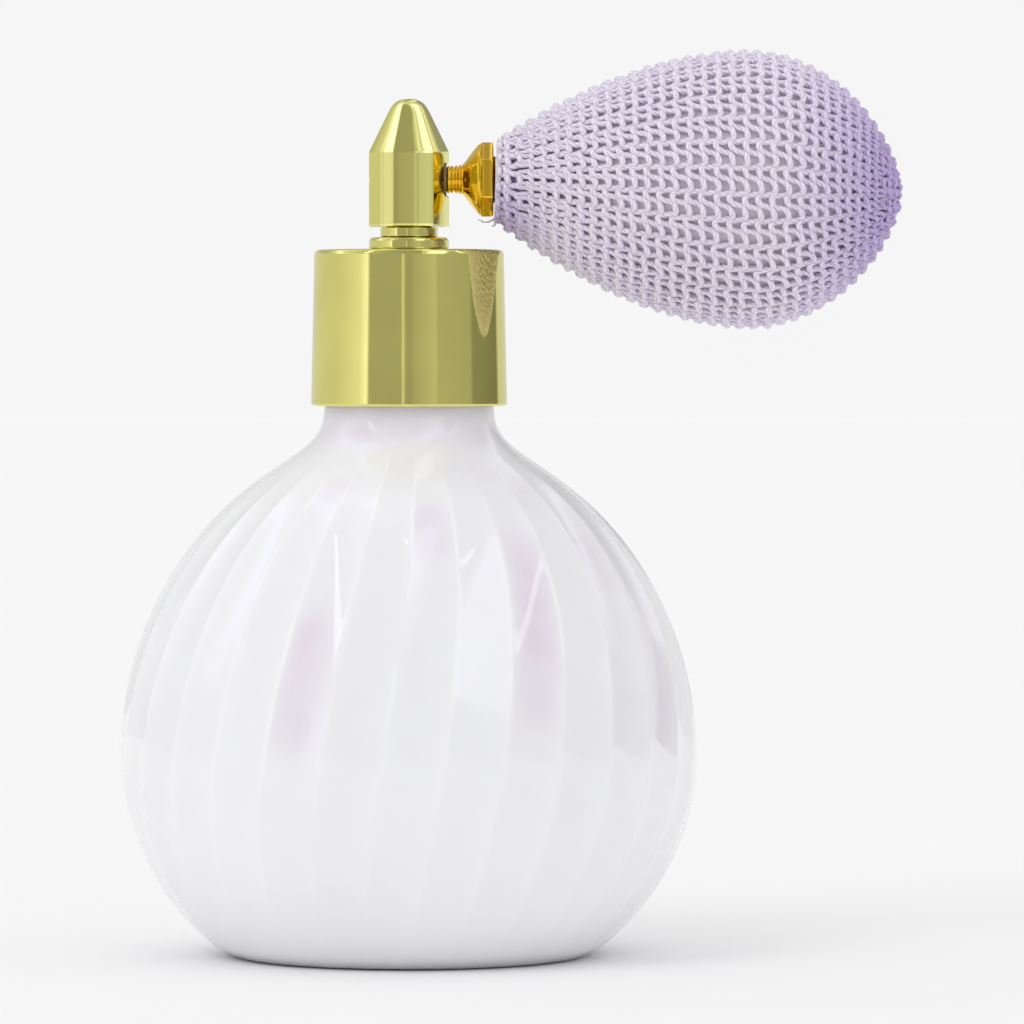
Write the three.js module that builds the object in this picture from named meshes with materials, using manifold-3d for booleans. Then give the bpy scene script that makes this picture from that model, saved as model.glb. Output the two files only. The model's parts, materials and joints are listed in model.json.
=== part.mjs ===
// Perfume atomiser: a swirl-ribbed glass globe, a screw collar, a hexagonal spray head and a
// knit-covered rubber bulb that blows air through the head.
// Millimetres, +Z up. The origin is the centre of the bottle's flat base, and +X points from
// the bottle's axis towards the bulb.

import * as THREE from "three";
import { mergeVertices } from "three/addons/utils/BufferGeometryUtils.js";
import Module from "manifold-3d";

const wasm = await Module();
wasm.setup();

// ---------------------------------------------------------------- driving dimensions

const GAP = 0.1; // between pieces that touch
const DEG = Math.PI / 180;

// bottle
const BELLY_R = 41.2; // widest radius of the glass
const BELLY_Z = 28.7; // height of the widest place
const SHOULDER_RISE = 46.1; // upper half axis of the outer ellipse
const BELLY_DROP = 36.9; // lower half axis of the outer ellipse
const BASE_R = 24; // radius of the flat base
const BASE_EDGE = 2.5; // width of the shallow edge round the base
const BASE_ANGLE = -47.3 * DEG; // where the lower ellipse meets the base's edge
const SHOULDER_ANGLE = 54 * DEG; // where the upper ellipse gives way to the neck's curve
const INNER_SHOULDER = 50 * DEG; // the same inside
const INNER_R = 37.6; // widest radius of the cavity
const INNER_RISE = 43;
const INNER_DROP = 22.2;
const RIBS = 30;
const RIB_DEPTH = 0.45;
const RIB_TWIST = 17 * DEG; // lean of the ribs from shoulder to base
const NECK_R = 12.05; // plain neck just under the collar
const FINISH_R = 10.6; // neck under the thread
const BORE_R = 7.8;
const FINISH_Z = 80.4; // where the threaded finish starts
const RIM_Z = 95.4; // sealing rim of the neck
const RIM_EDGE = 0.3; // chamfer of the rim

// screw thread between neck and collar
const LEAD = 3.175; // rise for one turn
const MALE_TURNS = 1.5;
const FEMALE_TURNS = 1.1;
const MALE_Z = 88.2; // centre of the male ridge where it starts
const FEMALE_BELOW = 1.25; // how far the female ridge lies under the male one
const MALE_FOOT = 1.5; // width of the male ridge at its foot
const MALE_CREST = 0.7; // width of the male ridge at its crest
const FEMALE_FOOT = 1.3;
const FEMALE_CREST = 0.6;
const THREAD_H = 1; // how far each ridge stands up
const THREAD_STEPS = 24; // sections in one turn

// closure, from the rim upwards
const COLLAR_Z = 78.6;
const COLLAR_TOP_Z = 100.9;
const COLLAR_R_LOW = 14.0;
const COLLAR_R_TOP = 13.54;
const COLLAR_WALL = 0.6;
const COLLAR_ROOF = 0.9;
const COLLAR_HOLE_R = 4.4;
const INSERT_R = 12.7;
const INSERT_BORE_R = 11.95;
const INSERT_CREST_R = INSERT_BORE_R - THREAD_H;
const INSERT_FOOT_Z = COLLAR_Z + 0.7;
const PLUG_Z = 91.5; // lower end of the plug in the neck
const PLUG_R = 7.3;
const GASKET_H = 1.35;
const FLANGE_H = 1.25; // flange of the tube holder
const WASHER_H = 0.45;

// head
const STEM_R = 3.85;
const GROOVE_R = 4.1;
const RING_R = 5.7;
const RING_H = 1.65;
const HEAD_R = 5.8; // across the corners, halved
const HEAD_TURN = -22 * DEG; // one corner, measured from the side that faces -Y
const HEAD_Z = 104.15;
const HEAD_TAPER_Z = 114.9;
const HEAD_TOP_Z = 122.4;
const JET_Z = 110.9; // axis of nozzle and connector
const TUBE_R = 1.5;
const TUBE_BORE_R = 0.9;
const TUBE_FOOT_Z = 7.4;
const TUBE_TOP_Z = 109.3;

// connector, measured along +X from the bottle's axis
const RIM_X = 10.05;
const RIM_END_X = 12.05;
const RIM_HEX_R = 5.36;
const SEAT_X = 13.9; // face of the outlet valve seat
const FLARE_R = 5.05; // wide end of the trumpet
const HOSE_R = 3.3; // end that the bulb's mouth grips
const BARB_R = 3.5;

// bulb, measured along its own axis from its mouth
const BULB_X = 12.3;
const BULB_Z = 110.8;
const BULB_DROOP = 2.13 * DEG;
const BULB_R = 19.95;
const BULB_FRONT = 36; // mouth to widest place
const BULB_TAIL = 22.3; // widest place to tail
const MOUTH_NARROWING = 0.7; // share of the radius that is gone at the mouth
const KNIT_T = 1.35;
const RUBBER_T = 1.6;
const TIE_R = 5.4; // thread behind the connector's rim
const TIE_THREAD_R = 0.33;
const TIE_S = 0.48;
const GATHER_R = 0.62; // thread drawn shut at the tail
const GATHER_THREAD_R = 0.25;
const GATHER_FROM_END = 1.0;

// ---------------------------------------------------------------- helpers

const v2 = (r, z) => new THREE.Vector2(r, z);

// Points on an ellipse round (0, centreZ), from one angle above the widest place to another.
function ellipse(radius, halfAxis, centreZ, from, to, steps) {
  const points = [];
  for (let i = 0; i <= steps; i++) {
    const a = from + ((to - from) * i) / steps;
    points.push(v2(radius * Math.cos(a), centreZ + halfAxis * Math.sin(a)));
  }
  return points;
}

// Points along a cubic curve, without its first point.
function blendCurve(p0, p1, p2, p3, steps) {
  return new THREE.CubicBezierCurve(p0, p1, p2, p3).getPoints(steps).slice(1);
}

function signedArea(points) {
  let sum = 0;
  points.forEach((p, i) => {
    const q = points[(i + 1) % points.length];
    sum += p.x * q.y - q.x * p.y;
  });
  return sum / 2;
}

// A body of revolution about Z. The profile either starts and ends on the axis, or is closed here.
function turned(profile, segments = 24) {
  const points = signedArea(profile) > 0 ? [...profile] : [...profile].reverse();
  if (points[0].x > 0 || points[points.length - 1].x > 0) points.push(points[0].clone());
  return new THREE.LatheGeometry(points, segments).rotateX(Math.PI / 2);
}

// A plain ring about Z.
const ring = (inner, outer, low, high, segments) =>
  turned([v2(inner, low), v2(outer, low), v2(outer, high), v2(inner, high)], segments);

// A plain rod about Z.
const rod = (radius, low, high, segments) =>
  turned([v2(0, low), v2(radius, low), v2(radius, high), v2(0, high)], segments);

// A geometry as a solid that can be cut and joined.
function solid(geometry) {
  const bare = geometry.clone();
  bare.deleteAttribute("normal");
  bare.deleteAttribute("uv");
  const merged = mergeVertices(bare, 1e-4);
  return new wasm.Manifold(
    new wasm.Mesh({
      numProp: 3,
      vertProperties: merged.attributes.position.array,
      triVerts: new Uint32Array(merged.index.array),
    }),
  );
}

function geometryOf(made) {
  const mesh = made.getMesh();
  return new THREE.BufferGeometry()
    .setAttribute("position", new THREE.BufferAttribute(new Float32Array(mesh.vertProperties), 3))
    .setIndex(new THREE.BufferAttribute(new Uint32Array(mesh.triVerts), 1));
}

// A body minus each of the cutters.
function cut(body, ...cutters) {
  return geometryOf(cutters.reduce((left, cutter) => left.subtract(solid(cutter)), solid(body)));
}

// A body joined with each of the others.
function join(body, ...others) {
  return geometryOf(others.reduce((left, other) => left.add(solid(other)), solid(body)));
}

// A stack of cross-sections, each a list of points with the same count, closed by flat ends.
function skinned(sections) {
  const count = sections[0].length;
  const positions = [];
  const faces = [];
  sections.forEach((section) => section.forEach((p) => positions.push(p.x, p.y, p.z)));
  for (let s = 0; s + 1 < sections.length; s++) {
    for (let i = 0; i < count; i++) {
      const a = s * count + i;
      const b = s * count + ((i + 1) % count);
      faces.push(a, b, b + count, a, b + count, a + count);
    }
  }
  const last = (sections.length - 1) * count;
  for (let i = 1; i + 1 < count; i++) {
    faces.push(0, i + 1, i);
    faces.push(last, last + i, last + i + 1);
  }
  return new THREE.BufferGeometry()
    .setAttribute("position", new THREE.BufferAttribute(new Float32Array(positions), 3))
    .setIndex(faces);
}

// A helical thread ridge. Its section is a trapezoid whose foot lies at footR and whose crest
// lies at crestR, and it runs out to nothing over the last steps at each end.
function threadRidge(footR, crestR, footWidth, crestWidth, startZ, turns) {
  const steps = Math.round(turns * THREAD_STEPS);
  const runOut = 2;
  const outward = Math.sign(crestR - footR);
  const sections = [];
  for (let i = 0; i <= steps; i++) {
    const angle = (2 * Math.PI * i) / THREAD_STEPS;
    const z = startZ + (LEAD * i) / THREAD_STEPS;
    const height = Math.min(1, (i + 0.4) / runOut, (steps - i + 0.4) / runOut);
    const crest = footR + (crestR - footR) * height;
    const corner = (r, dz) =>
      new THREE.Vector3(r * Math.cos(angle), r * Math.sin(angle), z + dz);
    const foot = footR - outward * 0.3; // the foot sinks into the wall that carries it
    const section = [
      corner(foot, -footWidth / 2),
      corner(foot, footWidth / 2),
      corner(crest, crestWidth / 2),
      corner(crest, -crestWidth / 2),
    ];
    sections.push(outward > 0 ? section : section.reverse());
  }
  return skinned(sections);
}

// Regular hexagon points at one height, with one corner at the given angle from +X.
function hexagon(radius, z, turn) {
  return Array.from({ length: 6 }, (_, i) => {
    const a = turn + (i * Math.PI) / 3;
    return new THREE.Vector3(radius * Math.cos(a), radius * Math.sin(a), z);
  });
}

// Turns a geometry made about Z so that its axis lies along +X, at the nozzle's height.
const alongX = (geometry) => geometry.rotateY(Math.PI / 2).translate(0, 0, JET_Z);

const finish = (color, roughness, metalness, extra = {}) =>
  new THREE.MeshStandardMaterial({ color, roughness, metalness, ...extra });

const OPAL = { color: 0xeeecf2, roughness: 0.12, metalness: 0, extra: { opacity: 0.9 } };
const PALE_GOLD = { color: 0xc9c25e, roughness: 0.08, metalness: 1 };
const WARM_GOLD = { color: 0xd9a52c, roughness: 0.12, metalness: 1 };
const BRASS = { color: 0xb99a4b, roughness: 0.3, metalness: 1 };
const STEEL = { color: 0xb8bcc0, roughness: 0.25, metalness: 1 };
const WHITE_PLASTIC = { color: 0xf0efea, roughness: 0.5, metalness: 0 };
const CLEAR_PLASTIC = { color: 0xe6ecec, roughness: 0.35, metalness: 0 };
const SEAL = { color: 0xd8d6d0, roughness: 0.8, metalness: 0 };
const GREY_RUBBER = { color: 0xcdc6d7, roughness: 0.6, metalness: 0 };
const LILAC_YARN = { color: 0xe0d4ee, roughness: 0.7, metalness: 0 };

const atomiser = new THREE.Group();

function add(name, geometry, look, parent = atomiser) {
  const mesh = new THREE.Mesh(
    geometry,
    finish(look.color, look.roughness, look.metalness, look.extra),
  );
  mesh.name = name;
  parent.add(mesh);
  return mesh;
}

// ---------------------------------------------------------------- glass bottle

// How strongly the ribs stand at a height: none on the base and none on the neck.
function ribShare(z) {
  const up = THREE.MathUtils.smoothstep(z, 0.5, 12);
  const down = 1 - THREE.MathUtils.smoothstep(z, 60, 73);
  return up * down;
}

function bottleGlass() {
  const low = ellipse(BELLY_R, BELLY_DROP, BELLY_Z, BASE_ANGLE, 0, 4);
  const high = ellipse(BELLY_R, SHOULDER_RISE, BELLY_Z, 0, SHOULDER_ANGLE, 5).slice(1);
  const shoulder = high[high.length - 1];
  const outer = [
    v2(0, 0),
    v2(BASE_R, 0),
    v2(BASE_R + BASE_EDGE, 0.45),
    ...low,
    ...high,
    ...blendCurve(shoulder, v2(17, 71.85), v2(12.9, 72.6), v2(12.2, 77), 4),
    v2(NECK_R, 79),
    v2(FINISH_R, FINISH_Z),
  ];
  const ribbed = turned([...outer, v2(FINISH_R, RIM_Z - 2), v2(0, RIM_Z - 2)], 2 * RIBS);
  const at = ribbed.attributes.position;
  for (let i = 0; i < at.count; i++) {
    const [x, y, z] = [at.getX(i), at.getY(i), at.getZ(i)];
    const angle = Math.atan2(y, x);
    const column = Math.round((angle / Math.PI) * RIBS);
    const depth = column % 2 === 0 ? 0 : RIB_DEPTH * ribShare(z);
    const twist = RIB_TWIST * (1 - z / RIM_Z) ** 1.3;
    const radius = Math.max(0, Math.hypot(x, y) - depth);
    const turn = z > 0.5 && z < 74 ? twist : 0;
    at.setXYZ(i, radius * Math.cos(angle + turn), radius * Math.sin(angle + turn), z);
  }
  const finishWall = turned(
    [v2(0, RIM_Z - 4), v2(FINISH_R, RIM_Z - 4), v2(FINISH_R, RIM_Z - RIM_EDGE)]
      .concat([v2(FINISH_R - RIM_EDGE, RIM_Z), v2(0, RIM_Z)]),
    32,
  );
  const topR = INNER_R * Math.cos(INNER_SHOULDER);
  const top = v2(topR, BELLY_Z + INNER_RISE * Math.sin(INNER_SHOULDER));
  const cavity = turned(
    [
      ...ellipse(INNER_R, INNER_DROP, BELLY_Z, -90 * DEG, 0, 5).map((p, i) => (i ? p : v2(0, p.y))),
      ...ellipse(INNER_R, INNER_RISE, BELLY_Z, 0, INNER_SHOULDER, 4).slice(1),
      ...blendCurve(top, v2(17.5, 68), v2(BORE_R, 70), v2(BORE_R, 75), 3),
      v2(BORE_R, RIM_Z + 1),
      v2(0, RIM_Z + 1),
    ],
    32,
  );
  const crestR = FINISH_R + THREAD_H;
  const ridge = threadRidge(FINISH_R, crestR, MALE_FOOT, MALE_CREST, MALE_Z, MALE_TURNS);
  return cut(join(ribbed, finishWall, ridge), cavity);
}

add("glass_bottle", bottleGlass(), OPAL);

// ---------------------------------------------------------------- closure

const gasketTop = RIM_Z + GAP + GASKET_H;
add("sealing_gasket", ring(BORE_R - 0.2, FINISH_R - 0.2, RIM_Z + GAP, gasketTop, 28), SEAL);

// Plug in the neck, flange on the gasket, spigot up into the stem; the bore round the dip
// tube is the way down for the air.
const flangeLow = gasketTop + GAP;
const flangeTop = flangeLow + FLANGE_H;
const AIRWAY_R = 1.95;
const SPIGOT_R = 2.6;
add(
  "tube_holder",
  turned(
    [
      v2(AIRWAY_R, PLUG_Z),
      v2(PLUG_R - 0.6, PLUG_Z),
      v2(PLUG_R, PLUG_Z + 1),
      v2(PLUG_R, flangeLow),
      v2(FINISH_R - 0.4, flangeLow),
      v2(FINISH_R - 0.4, flangeTop),
      v2(SPIGOT_R, flangeTop),
      v2(SPIGOT_R, flangeTop + 2.3),
      v2(AIRWAY_R, flangeTop + 2.3),
    ],
    28,
  ),
  WHITE_PLASTIC,
);

const washerLow = flangeTop + GAP;
const washerTop = washerLow + WASHER_H;
add("slip_washer", ring(STEM_R + 0.35, FINISH_R - 1, washerLow, washerTop, 28), CLEAR_PLASTIC);

// Lining: a threaded skirt with a roof that presses on the slip washer.
const roofLow = washerTop + GAP;
const roofTop = COLLAR_TOP_Z - COLLAR_ROOF - GAP;
const insertSkirt = turned(
  [
    v2(INSERT_BORE_R, INSERT_FOOT_Z),
    v2(INSERT_R, INSERT_FOOT_Z),
    v2(INSERT_R, roofTop),
    v2(STEM_R + 1.3, roofTop),
    v2(STEM_R + 1.3, roofLow),
    v2(INSERT_BORE_R, roofLow),
  ],
  36,
);
const femaleZ = MALE_Z - FEMALE_BELOW;
const femaleRidge = threadRidge(
  INSERT_BORE_R,
  INSERT_CREST_R,
  FEMALE_FOOT,
  FEMALE_CREST,
  femaleZ,
  FEMALE_TURNS,
);
add("collar_insert", join(insertSkirt, femaleRidge), WHITE_PLASTIC);

// Shell: slightly tapered, with a rounded top edge and a bright lip at its foot.
add(
  "collar_shell",
  turned(
    [
      v2(COLLAR_R_LOW - COLLAR_WALL, COLLAR_Z),
      v2(COLLAR_R_LOW - 0.25, COLLAR_Z),
      v2(COLLAR_R_LOW, COLLAR_Z + 0.25),
      v2(COLLAR_R_TOP, COLLAR_TOP_Z - 0.6),
      v2(COLLAR_R_TOP - 0.18, COLLAR_TOP_Z - 0.18),
      v2(COLLAR_R_TOP - 0.6, COLLAR_TOP_Z),
      v2(COLLAR_HOLE_R, COLLAR_TOP_Z),
      v2(COLLAR_HOLE_R, COLLAR_TOP_Z - COLLAR_ROOF),
      v2(COLLAR_R_TOP - COLLAR_WALL, COLLAR_TOP_Z - COLLAR_ROOF),
    ],
    48,
  ),
  PALE_GOLD,
);

// ---------------------------------------------------------------- stem, ring and head

const ringLow = COLLAR_TOP_Z + GAP;
const ringTop = ringLow + RING_H;
add(
  "ring_flange",
  turned(
    [
      v2(STEM_R + 0.15, ringLow),
      v2(RING_R - 0.15, ringLow),
      v2(RING_R, ringLow + 0.15),
      v2(RING_R, ringTop - 0.35),
      v2(RING_R - 0.35, ringTop),
      v2(STEM_R + 0.15, ringTop),
    ],
    32,
  ),
  PALE_GOLD,
);

const SOCKET_R = 3.3; // bore in the head's foot
const SPIGOT_TOP_Z = HEAD_Z + 3;
const stemLow = flangeTop + 0.15;
const STEM_BORE_R = 2.1;
add(
  "head_stem",
  turned(
    [
      v2(SPIGOT_R + 0.1, stemLow),
      v2(STEM_R, stemLow),
      v2(STEM_R, ringTop + GAP),
      v2(GROOVE_R, ringTop + GAP),
      v2(GROOVE_R, HEAD_Z - GAP),
      v2(SOCKET_R - 0.15, HEAD_Z - GAP),
      v2(SOCKET_R - 0.15, SPIGOT_TOP_Z),
      v2(STEM_BORE_R, SPIGOT_TOP_Z),
      v2(STEM_BORE_R, flangeTop + 2.5),
      v2(SPIGOT_R + 0.1, flangeTop + 2.5),
    ],
    28,
  ),
  PALE_GOLD,
);

// Head: a hexagonal prism whose top tapers straight and then rounds over to a small flat.
const JET_STEP_Z = SPIGOT_TOP_Z + 0.95;
const CHAMBER_R = 2.6;
const CHAMBER_TOP_Z = 113.5;
const NOZZLE_R = 0.85;
const CONNECTOR_BORE_R = 1.85;
const SPOT_FACE_X = 4.85;
const SPOT_FACE_R = 2.6;

function headMetal() {
  const corner = HEAD_TURN - 90 * DEG;
  const taperEnd = v2(2.95, HEAD_TOP_Z - 1.8);
  const outline = [
    v2(HEAD_R - 0.15, HEAD_Z),
    v2(HEAD_R, HEAD_Z + 0.15),
    v2(HEAD_R, HEAD_TAPER_Z - 0.3),
    v2(HEAD_R - 0.15, HEAD_TAPER_Z + 0.2),
    taperEnd,
    ...blendCurve(taperEnd, v2(2.5, 121.6), v2(1.9, 122.3), v2(1.1, HEAD_TOP_Z), 3),
  ];
  const block = skinned(outline.map((p) => hexagon(p.x, p.y, corner)));
  const shaft = turned(
    [
      v2(0, HEAD_Z - 1),
      v2(SOCKET_R, HEAD_Z - 1),
      v2(SOCKET_R, JET_STEP_Z),
      v2(CHAMBER_R, JET_STEP_Z),
      v2(CHAMBER_R, CHAMBER_TOP_Z),
      v2(0, CHAMBER_TOP_Z),
    ],
    24,
  );
  const nozzleHole = alongX(rod(NOZZLE_R + 0.1, -7, -1.5, 16));
  const connectorHole = alongX(rod(CONNECTOR_BORE_R, 1.5, 7, 20));
  const spotFace = alongX(rod(SPOT_FACE_R, SPOT_FACE_X, 7, 24));
  return cut(block, shaft, nozzleHole, connectorHole, spotFace);
}

add("head_body", headMetal(), PALE_GOLD);

// Dip tube, with its foot cut on the slant.
const footCut = new THREE.BoxGeometry(8, 8, 4)
  .rotateY(35 * DEG)
  .translate(0, 0, TUBE_FOOT_Z - 1.4);
add("dip_tube", cut(ring(TUBE_BORE_R, TUBE_R, TUBE_FOOT_Z - 2, TUBE_TOP_Z, 16), footCut), CLEAR_PLASTIC);

// Jet block: a notched disc held between stem and head, a column in the air chamber that
// takes the dip tube, and a fine jet that points at the nozzle.
function jetBlock() {
  const discLow = SPIGOT_TOP_Z + GAP;
  const column = turned(
    [
      v2(0, discLow),
      v2(SOCKET_R - 0.15, discLow),
      v2(SOCKET_R - 0.15, JET_STEP_Z - GAP),
      v2(1.95, JET_STEP_Z - GAP),
      v2(1.95, 112.2),
      v2(0.9, 112.4),
      v2(0.9, CHAMBER_TOP_Z - GAP),
      v2(0, CHAMBER_TOP_Z - GAP),
    ],
    24,
  );
  const jet = alongX(rod(0.7, -2.45, 0, 12));
  const socket = rod(TUBE_R + 0.1, discLow - 1, TUBE_TOP_Z + 0.1, 16);
  const riser = rod(0.5, TUBE_TOP_Z, JET_Z + 0.3, 10);
  const jetBore = alongX(rod(0.28, -3, 0, 10));
  const notches = [0, 120, 240].map((turn) =>
    new THREE.BoxGeometry(1.6, 1.4, 2)
      .translate(SOCKET_R - 0.5, 0, discLow + 0.3)
      .rotateZ(turn * DEG),
  );
  return cut(join(column, jet), socket, riser, jetBore, ...notches);
}

add("liquid_jet", jetBlock(), BRASS);

// Nozzle: a small plug with a funnel towards the jet and a fine hole outwards.
add(
  "nozzle_tip",
  alongX(
    turned(
      [
        v2(0.25, -5.3),
        v2(NOZZLE_R, -5.3),
        v2(NOZZLE_R, -2.95),
        v2(0.6, -2.95),
        v2(0.25, -3.9),
      ],
      16,
    ),
  ),
  BRASS,
);

// ---------------------------------------------------------------- connector

const washerX = SPOT_FACE_X + GAP;
add("connector_washer", alongX(ring(CONNECTOR_BORE_R, 2.4, washerX, washerX + 0.4, 20)), SEAL);

// Trumpet: spigot, ringed neck, flare, hexagonal rim and a barbed hose end with the valve bore.
const VALVE_BORE_R = 1.6;
const SEAT_BORE_R = 2.3;
const HOSE_END_X = 18.3;

function connectorMetal() {
  const neckX = washerX + 0.5;
  const neckRings = [0.7, 1.3, 1.8].flatMap((offset, i) => {
    const crest = 2.0 + 0.07 * i;
    const x = neckX + offset;
    return [v2(1.75, x - 0.18), v2(crest, x - 0.08), v2(crest, x + 0.08), v2(1.75, x + 0.18)];
  });
  const flareStart = v2(2.05, neckX + 2.05);
  const body = turned(
    [
      v2(0, 2.75),
      v2(CONNECTOR_BORE_R - 0.15, 2.75),
      v2(CONNECTOR_BORE_R - 0.15, neckX),
      v2(1.95, neckX),
      v2(1.95, neckX + 0.35),
      ...neckRings,
      flareStart,
      ...blendCurve(flareStart, v2(2.3, 8.0), v2(3.6, 8.6), v2(FLARE_R, RIM_X - 0.1), 5),
      v2(FLARE_R, RIM_X + 0.2),
      v2(4.3, RIM_X + 0.2),
      v2(4.3, RIM_END_X),
      v2(HOSE_R, RIM_END_X),
      v2(HOSE_R, 14.2),
      v2(BARB_R, 14.4),
      v2(HOSE_R, 15.8),
      v2(BARB_R, 16),
      v2(HOSE_R - 0.2, HOSE_END_X),
      v2(0, HOSE_END_X),
    ],
    24,
  );
  const rim = skinned(
    [
      [RIM_HEX_R, RIM_X + 0.1],
      [RIM_HEX_R, RIM_END_X - 0.15],
      [RIM_HEX_R - 0.15, RIM_END_X],
    ].map(([r, x]) => hexagon(r, x, 0)),
  );
  const airHole = rod(0.9, 1, RIM_X, 16);
  const valveBore = rod(VALVE_BORE_R, 8.3, HOSE_END_X + 1, 20);
  const seatBore = rod(SEAT_BORE_R, SEAT_X - 0.05, HOSE_END_X + 1, 24);
  return alongX(cut(join(body, rim), airHole, valveBore, seatBore));
}

add("bulb_nut", connectorMetal(), WARM_GOLD);

// Outlet valve: a ball that its spring holds on the seat, away from the head.
const BALL_R = 1.25;
const SEAT_HOLE_R = 0.8;
const ballX = SEAT_X - Math.sqrt(BALL_R ** 2 - SEAT_HOLE_R ** 2) - 0.08;
add(
  "outlet_valve_seat",
  alongX(ring(SEAT_HOLE_R, SEAT_BORE_R - 0.1, SEAT_X, HOSE_END_X - 0.3, 24)),
  BRASS,
);
add(
  "outlet_valve_ball",
  alongX(new THREE.SphereGeometry(BALL_R, 12, 8).rotateX(Math.PI / 2).translate(0, 0, ballX)),
  STEEL,
);

class Coil extends THREE.Curve {
  constructor(radius, start, end, turns) {
    super();
    Object.assign(this, { radius, start, end, turns });
  }

  getPoint(t) {
    const angle = 2 * Math.PI * this.turns * t;
    const along = this.start + (this.end - this.start) * t;
    return new THREE.Vector3(
      this.radius * Math.cos(angle),
      this.radius * Math.sin(angle),
      along,
    );
  }
}

const WIRE_R = 0.17;
const SPRING_TURNS = 4;
const wireSection = new THREE.Shape(
  Array.from({ length: 5 }, (_, i) =>
    v2(WIRE_R * Math.cos(i * 72 * DEG), WIRE_R * Math.sin(i * 72 * DEG)),
  ),
);
const springEnd = ballX - BALL_R + 0.05;
add(
  "outlet_valve_spring",
  alongX(
    new THREE.ExtrudeGeometry(wireSection, {
      steps: SPRING_TURNS * 10,
      bevelEnabled: false,
      extrudePath: new Coil(1.12, 8.3 + GAP + WIRE_R, springEnd - WIRE_R, SPRING_TURNS),
    }),
  ),
  STEEL,
);

// ---------------------------------------------------------------- bulb

// Everything in this group is made about its own Z, which runs from the mouth to the tail.
const bulb = new THREE.Group();
bulb.position.set(BULB_X, 0, BULB_Z);
bulb.rotation.y = Math.PI / 2 + BULB_DROOP;
atomiser.add(bulb);

// Pear outline, from the mouth to the tail, a constant distance inside the cover's skin:
// a power curve down to the mouth and a blunt, slightly pointed end.
function pear(inset, tailInset, fromS, frontSteps, tailSteps) {
  const widest = BULB_R - inset;
  const tail = BULB_TAIL - tailInset;
  const points = [];
  for (let i = 0; i < frontSteps; i++) {
    const s = fromS + ((BULB_FRONT - fromS) * i) / frontSteps;
    const u = (BULB_FRONT - s) / BULB_FRONT;
    points.push(v2(BULB_R * (1 - MOUTH_NARROWING * u ** 1.8) - inset, s));
  }
  for (let i = 0; i <= tailSteps; i++) {
    const t = Math.sin((i / tailSteps) * 90 * DEG);
    points.push(v2(widest * (1 - t * t) ** 0.635, BULB_FRONT + tail * t));
  }
  return points;
}

// The same outline, ended at a hole of that radius round the axis.
function pearWithHole(outline, holeR) {
  const keep = outline.filter((p, i) => p.x > holeR || p.y < BULB_FRONT);
  const last = keep[keep.length - 1];
  const next = outline[keep.length];
  const share = (last.x - holeR) / (last.x - next.x);
  return [...keep, v2(holeR, last.y + (next.y - last.y) * share)];
}

const BULB_SIDES = 28;
const TAIL_HOLE_R = 2.5;
const MOUTH_R = 4.0;
const KNIT_START_S = 0.95; // the tie thread lies in front of this

function knitSolid() {
  const hole = 1.0; // what the drawn thread leaves open
  const outer = pearWithHole(pear(0, 0, KNIT_START_S, 5, 6), hole);
  const inner = pearWithHole(pear(KNIT_T, KNIT_T, KNIT_START_S, 5, 6), hole);
  return turned([...outer, ...inner.reverse()], BULB_SIDES);
}

function rubberSolid() {
  const skin = KNIT_T + 0.25;
  const wall = skin + RUBBER_T;
  const outer = pearWithHole(pear(skin, skin + 0.1, 0.1, 5, 6), TAIL_HOLE_R);
  const inner = pearWithHole(pear(wall, wall + 0.2, 9, 4, 6), TAIL_HOLE_R);
  return turned([...outer, ...inner.reverse(), v2(MOUTH_R, 6), v2(MOUTH_R, 0.1)], BULB_SIDES);
}

add("rubber_bulb", rubberSolid(), GREY_RUBBER, bulb);
add("knit_cover", knitSolid(), LILAC_YARN, bulb);

// Threads that gather the cover: one behind the connector's rim, one drawn shut at the tail.
const threadLoop = (radius, thickness, s) =>
  new THREE.TorusGeometry(radius, thickness, 5, 18).translate(0, 0, s);
const gatherS = BULB_FRONT + BULB_TAIL - GATHER_FROM_END;
add("tie_thread", threadLoop(TIE_R, TIE_THREAD_R, TIE_S), LILAC_YARN, bulb);
add("gather_thread", threadLoop(GATHER_R, GATHER_THREAD_R, gatherS), LILAC_YARN, bulb);

// Inlet valve: air comes in through the tail past a ball that squeezing pushes shut.
const INLET_BALL_R = 1.15;
const INLET_HOLE_R = 0.7;
const INLET_SEAT_S = 55.5;
const INLET_BARREL_R = 2.3;
const INLET_CHAMBER_R = 1.45;
const INLET_END_S = 56.2;
const INLET_START_S = 51.4;
const INLET_FLANGE_R = 3.2;
const INLET_FLANGE_S = 52.6;
const INLET_FLANGE_T = 0.8;
add(
  "inlet_valve_body",
  turned(
    [
      v2(INLET_CHAMBER_R, INLET_START_S),
      v2(INLET_BARREL_R, INLET_START_S),
      v2(INLET_BARREL_R, INLET_FLANGE_S),
      v2(INLET_FLANGE_R, INLET_FLANGE_S),
      v2(INLET_FLANGE_R, INLET_FLANGE_S + INLET_FLANGE_T),
      v2(INLET_BARREL_R, INLET_FLANGE_S + INLET_FLANGE_T),
      v2(INLET_BARREL_R, INLET_END_S),
      v2(INLET_HOLE_R, INLET_END_S),
      v2(INLET_HOLE_R, INLET_SEAT_S),
      v2(INLET_CHAMBER_R, INLET_SEAT_S),
    ],
    24,
  ),
  BRASS,
  bulb,
);
const inletBallS = INLET_SEAT_S - Math.sqrt(INLET_BALL_R ** 2 - INLET_HOLE_R ** 2) - 0.08;
add(
  "inlet_valve_ball",
  new THREE.SphereGeometry(INLET_BALL_R, 12, 8).rotateX(Math.PI / 2).translate(0, 0, inletBallS),
  STEEL,
  bulb,
);

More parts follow.
